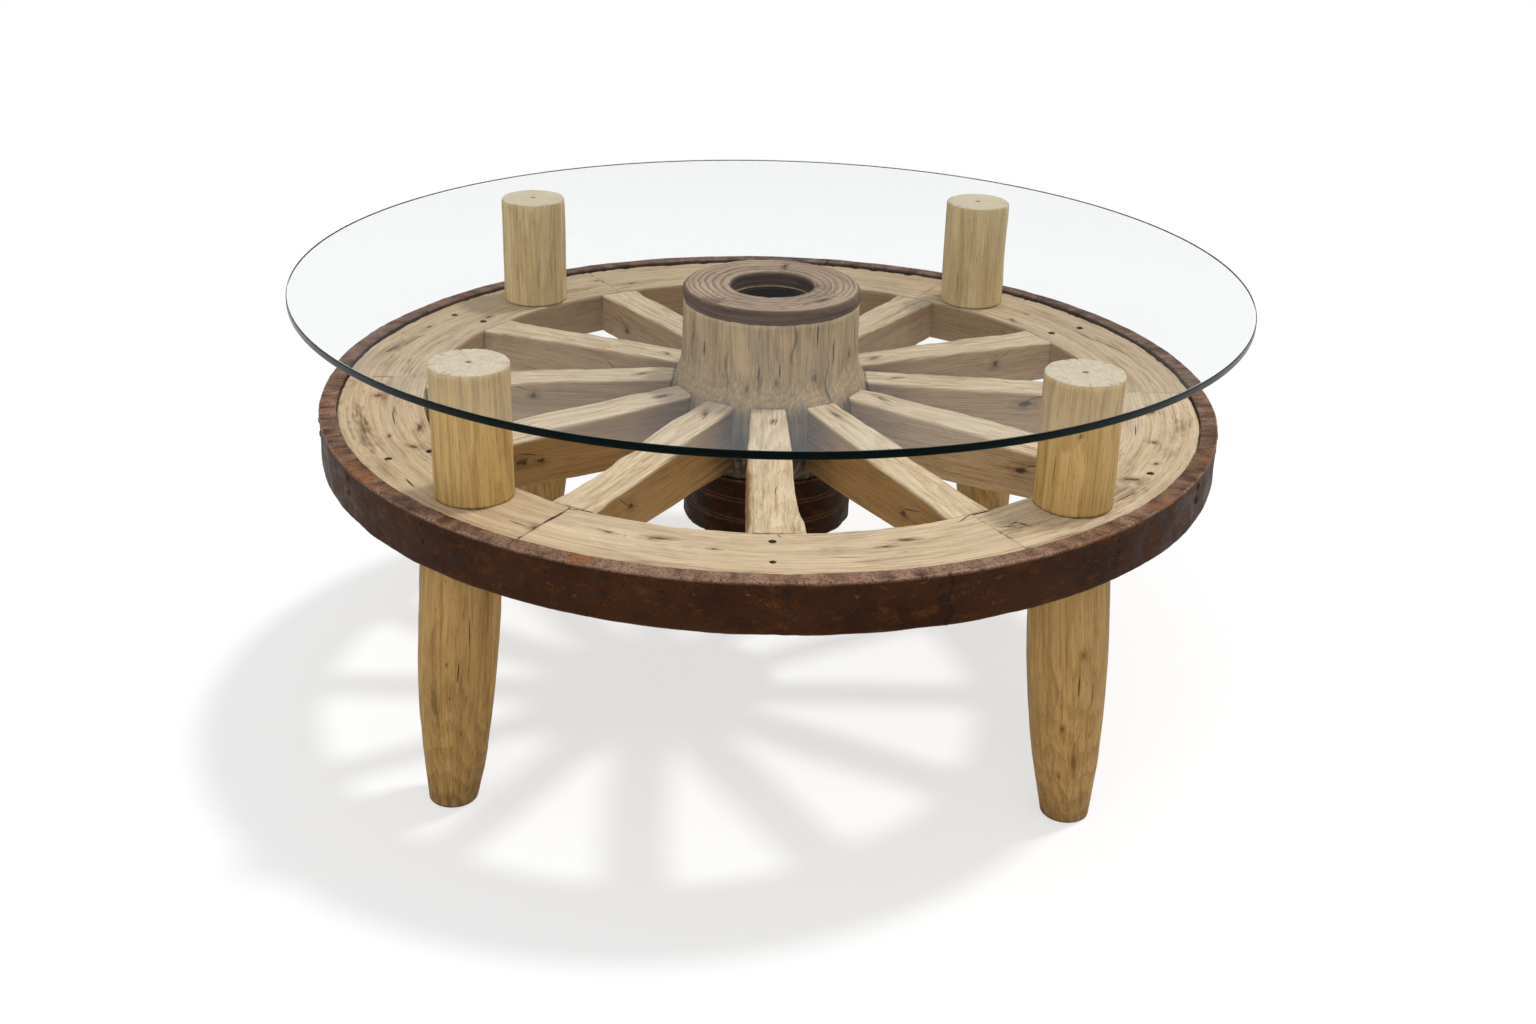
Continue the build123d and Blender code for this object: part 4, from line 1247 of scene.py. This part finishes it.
for node, material in (("axle_box", SLEEVE_IRON), ("tyre_nails", NAIL_IRON), ("felloe_pins", NAIL_IRON)):
    mesh = frame["nodes"][node].data
    mesh.materials.clear()
    mesh.materials.append(material)


# ------------------------------------------------------------ floor, light and camera
def seen_directly(tree):
    """1 for a ray from the camera, a mirror or through glass, and 0 for one that carries light."""
    path = put(tree, "LightPath").outputs
    seen = maths(tree, "MAXIMUM", path["Is Camera Ray"], path["Is Glossy Ray"])
    return maths(tree, "MAXIMUM", seen, path["Is Transmission Ray"])


def through_glass(tree):
    """Strength of what is plain white: 1, and more behind glass, which takes a good part of it at a slant."""
    return maths(tree, "MULTIPLY_ADD", put(tree, "LightPath").outputs["Is Transmission Ray"], 0.17, 1.0)


def floor():
    """Wide white floor: where it is seen, it shows the table's shadow on white, and it fades to plain white."""
    size = 30
    mesh = bpy.data.meshes.new("floor")
    mesh.from_pydata([(-size, -size, 0), (size, -size, 0), (size, size, 0), (-size, size, 0)], [], [(0, 1, 2, 3)])
    piece = linked("floor", mesh)
    material, tree, output = new_material("white_floor")
    plain = first_of(tree, "BsdfDiffuse", Color=(0.80, 0.80, 0.80, 1))
    shade_and_glow = put(tree, "AddShader")
    plug(tree, shade_and_glow.inputs[0], first_of(tree, "BsdfDiffuse", Color=(0.44, 0.44, 0.44, 1)))
    plug(tree, shade_and_glow.inputs[1], first_of(tree, "Emission", Color=(1, 1, 1, 1), Strength=0.58))
    white = first_of(tree, "Emission", Color=(1, 1, 1, 1), Strength=through_glass(tree))
    away = length(tree, put(tree, "TexCoord").outputs["Object"])
    seen = mixed(tree, step(tree, away, 0.9, 1.9), shade_and_glow.outputs[0], white)
    plug(tree, output.inputs[0], mixed(tree, seen_directly(tree), plain, seen))
    mesh.materials.append(material)


def world():
    """Plain studio surroundings: white where they are seen, softer as a light, dim in glass just over the horizon."""
    surroundings = bpy.data.worlds.new("studio")
    bpy.context.scene.world = surroundings
    surroundings.use_nodes = True
    tree = surroundings.node_tree
    tree.nodes.clear()
    path = put(tree, "LightPath").outputs
    rise = put(tree, "SeparateXYZ", Vector=put(tree, "TexCoord").outputs["Generated"]).outputs[2]
    surface = first_of(tree, "Background", Color=(1, 1, 1, 1), Strength=0.50)
    dim = maths(tree, "MAXIMUM", step(tree, rise, 0.29, 0.45, 0.09, 1.55), step(tree, rise, 0.10, 0.02))
    in_glass = maths(tree, "MAXIMUM", path["Is Glossy Ray"], path["Is Transmission Ray"])
    for seen, colour, strength in ((in_glass, (0.93, 0.97, 1, 1), dim), (path["Is Camera Ray"], (1, 1, 1, 1), 1.0)):
        surface = mixed(tree, seen, surface, first_of(tree, "Background", Color=colour, Strength=strength))
    plug(tree, put(tree, "OutputWorld").inputs[0], surface)


def lamp(name, bearing, elevation, spread, strength):
    """Far lamp that shines on the hub from a bearing, its disc a few degrees across."""
    light = bpy.data.lights.new(name, "SUN")
    light.angle = radians(spread)
    light.energy = strength
    piece = linked(name, light)
    flat = cos(radians(elevation))
    back = np.array([flat * cos(radians(bearing)), flat * sin(radians(bearing)), sin(radians(elevation))])
    side = np.cross((0, 0, 1), back)
    side /= np.linalg.norm(side)
    up = np.cross(back, side)
    piece.matrix_world = Matrix([[side[i], up[i], back[i], 3 * back[i]] for i in range(3)] + [[0, 0, 0, 1]])
    piece.visible_glossy = False


def camera():
    """Camera in front, pitched down and rolled a little."""
    focal_pixels, image_width, sensor_width = 1816.4, 1536, 36.0
    pitch, roll, yaw = radians(24.34), radians(1.50), radians(0.30)
    place = np.array([-0.0081, -1.9759, 1.0941])
    ahead = np.array([sin(yaw) * cos(pitch), cos(yaw) * cos(pitch), -sin(pitch)])
    level = np.array([cos(yaw), -sin(yaw), 0])
    up = np.cross(level, ahead)
    right = cos(roll) * level + sin(roll) * up
    upright = cos(roll) * up - sin(roll) * level
    data = bpy.data.cameras.new("camera")
    data.sensor_fit = "HORIZONTAL"
    data.sensor_width = sensor_width
    data.lens = focal_pixels / image_width * sensor_width
    piece = linked("camera", data)
    piece.matrix_world = Matrix([[right[i], upright[i], -ahead[i], place[i]] for i in range(3)] + [[0, 0, 0, 1]])
    bpy.context.scene.camera = piece


floor()
world()
lamp("key", bearing=32, elevation=64.5, spread=7, strength=1.55)
lamp("fill", bearing=-105, elevation=30, spread=60, strength=0.75)
camera()
bpy.context.scene.view_settings.view_transform = "Standard"
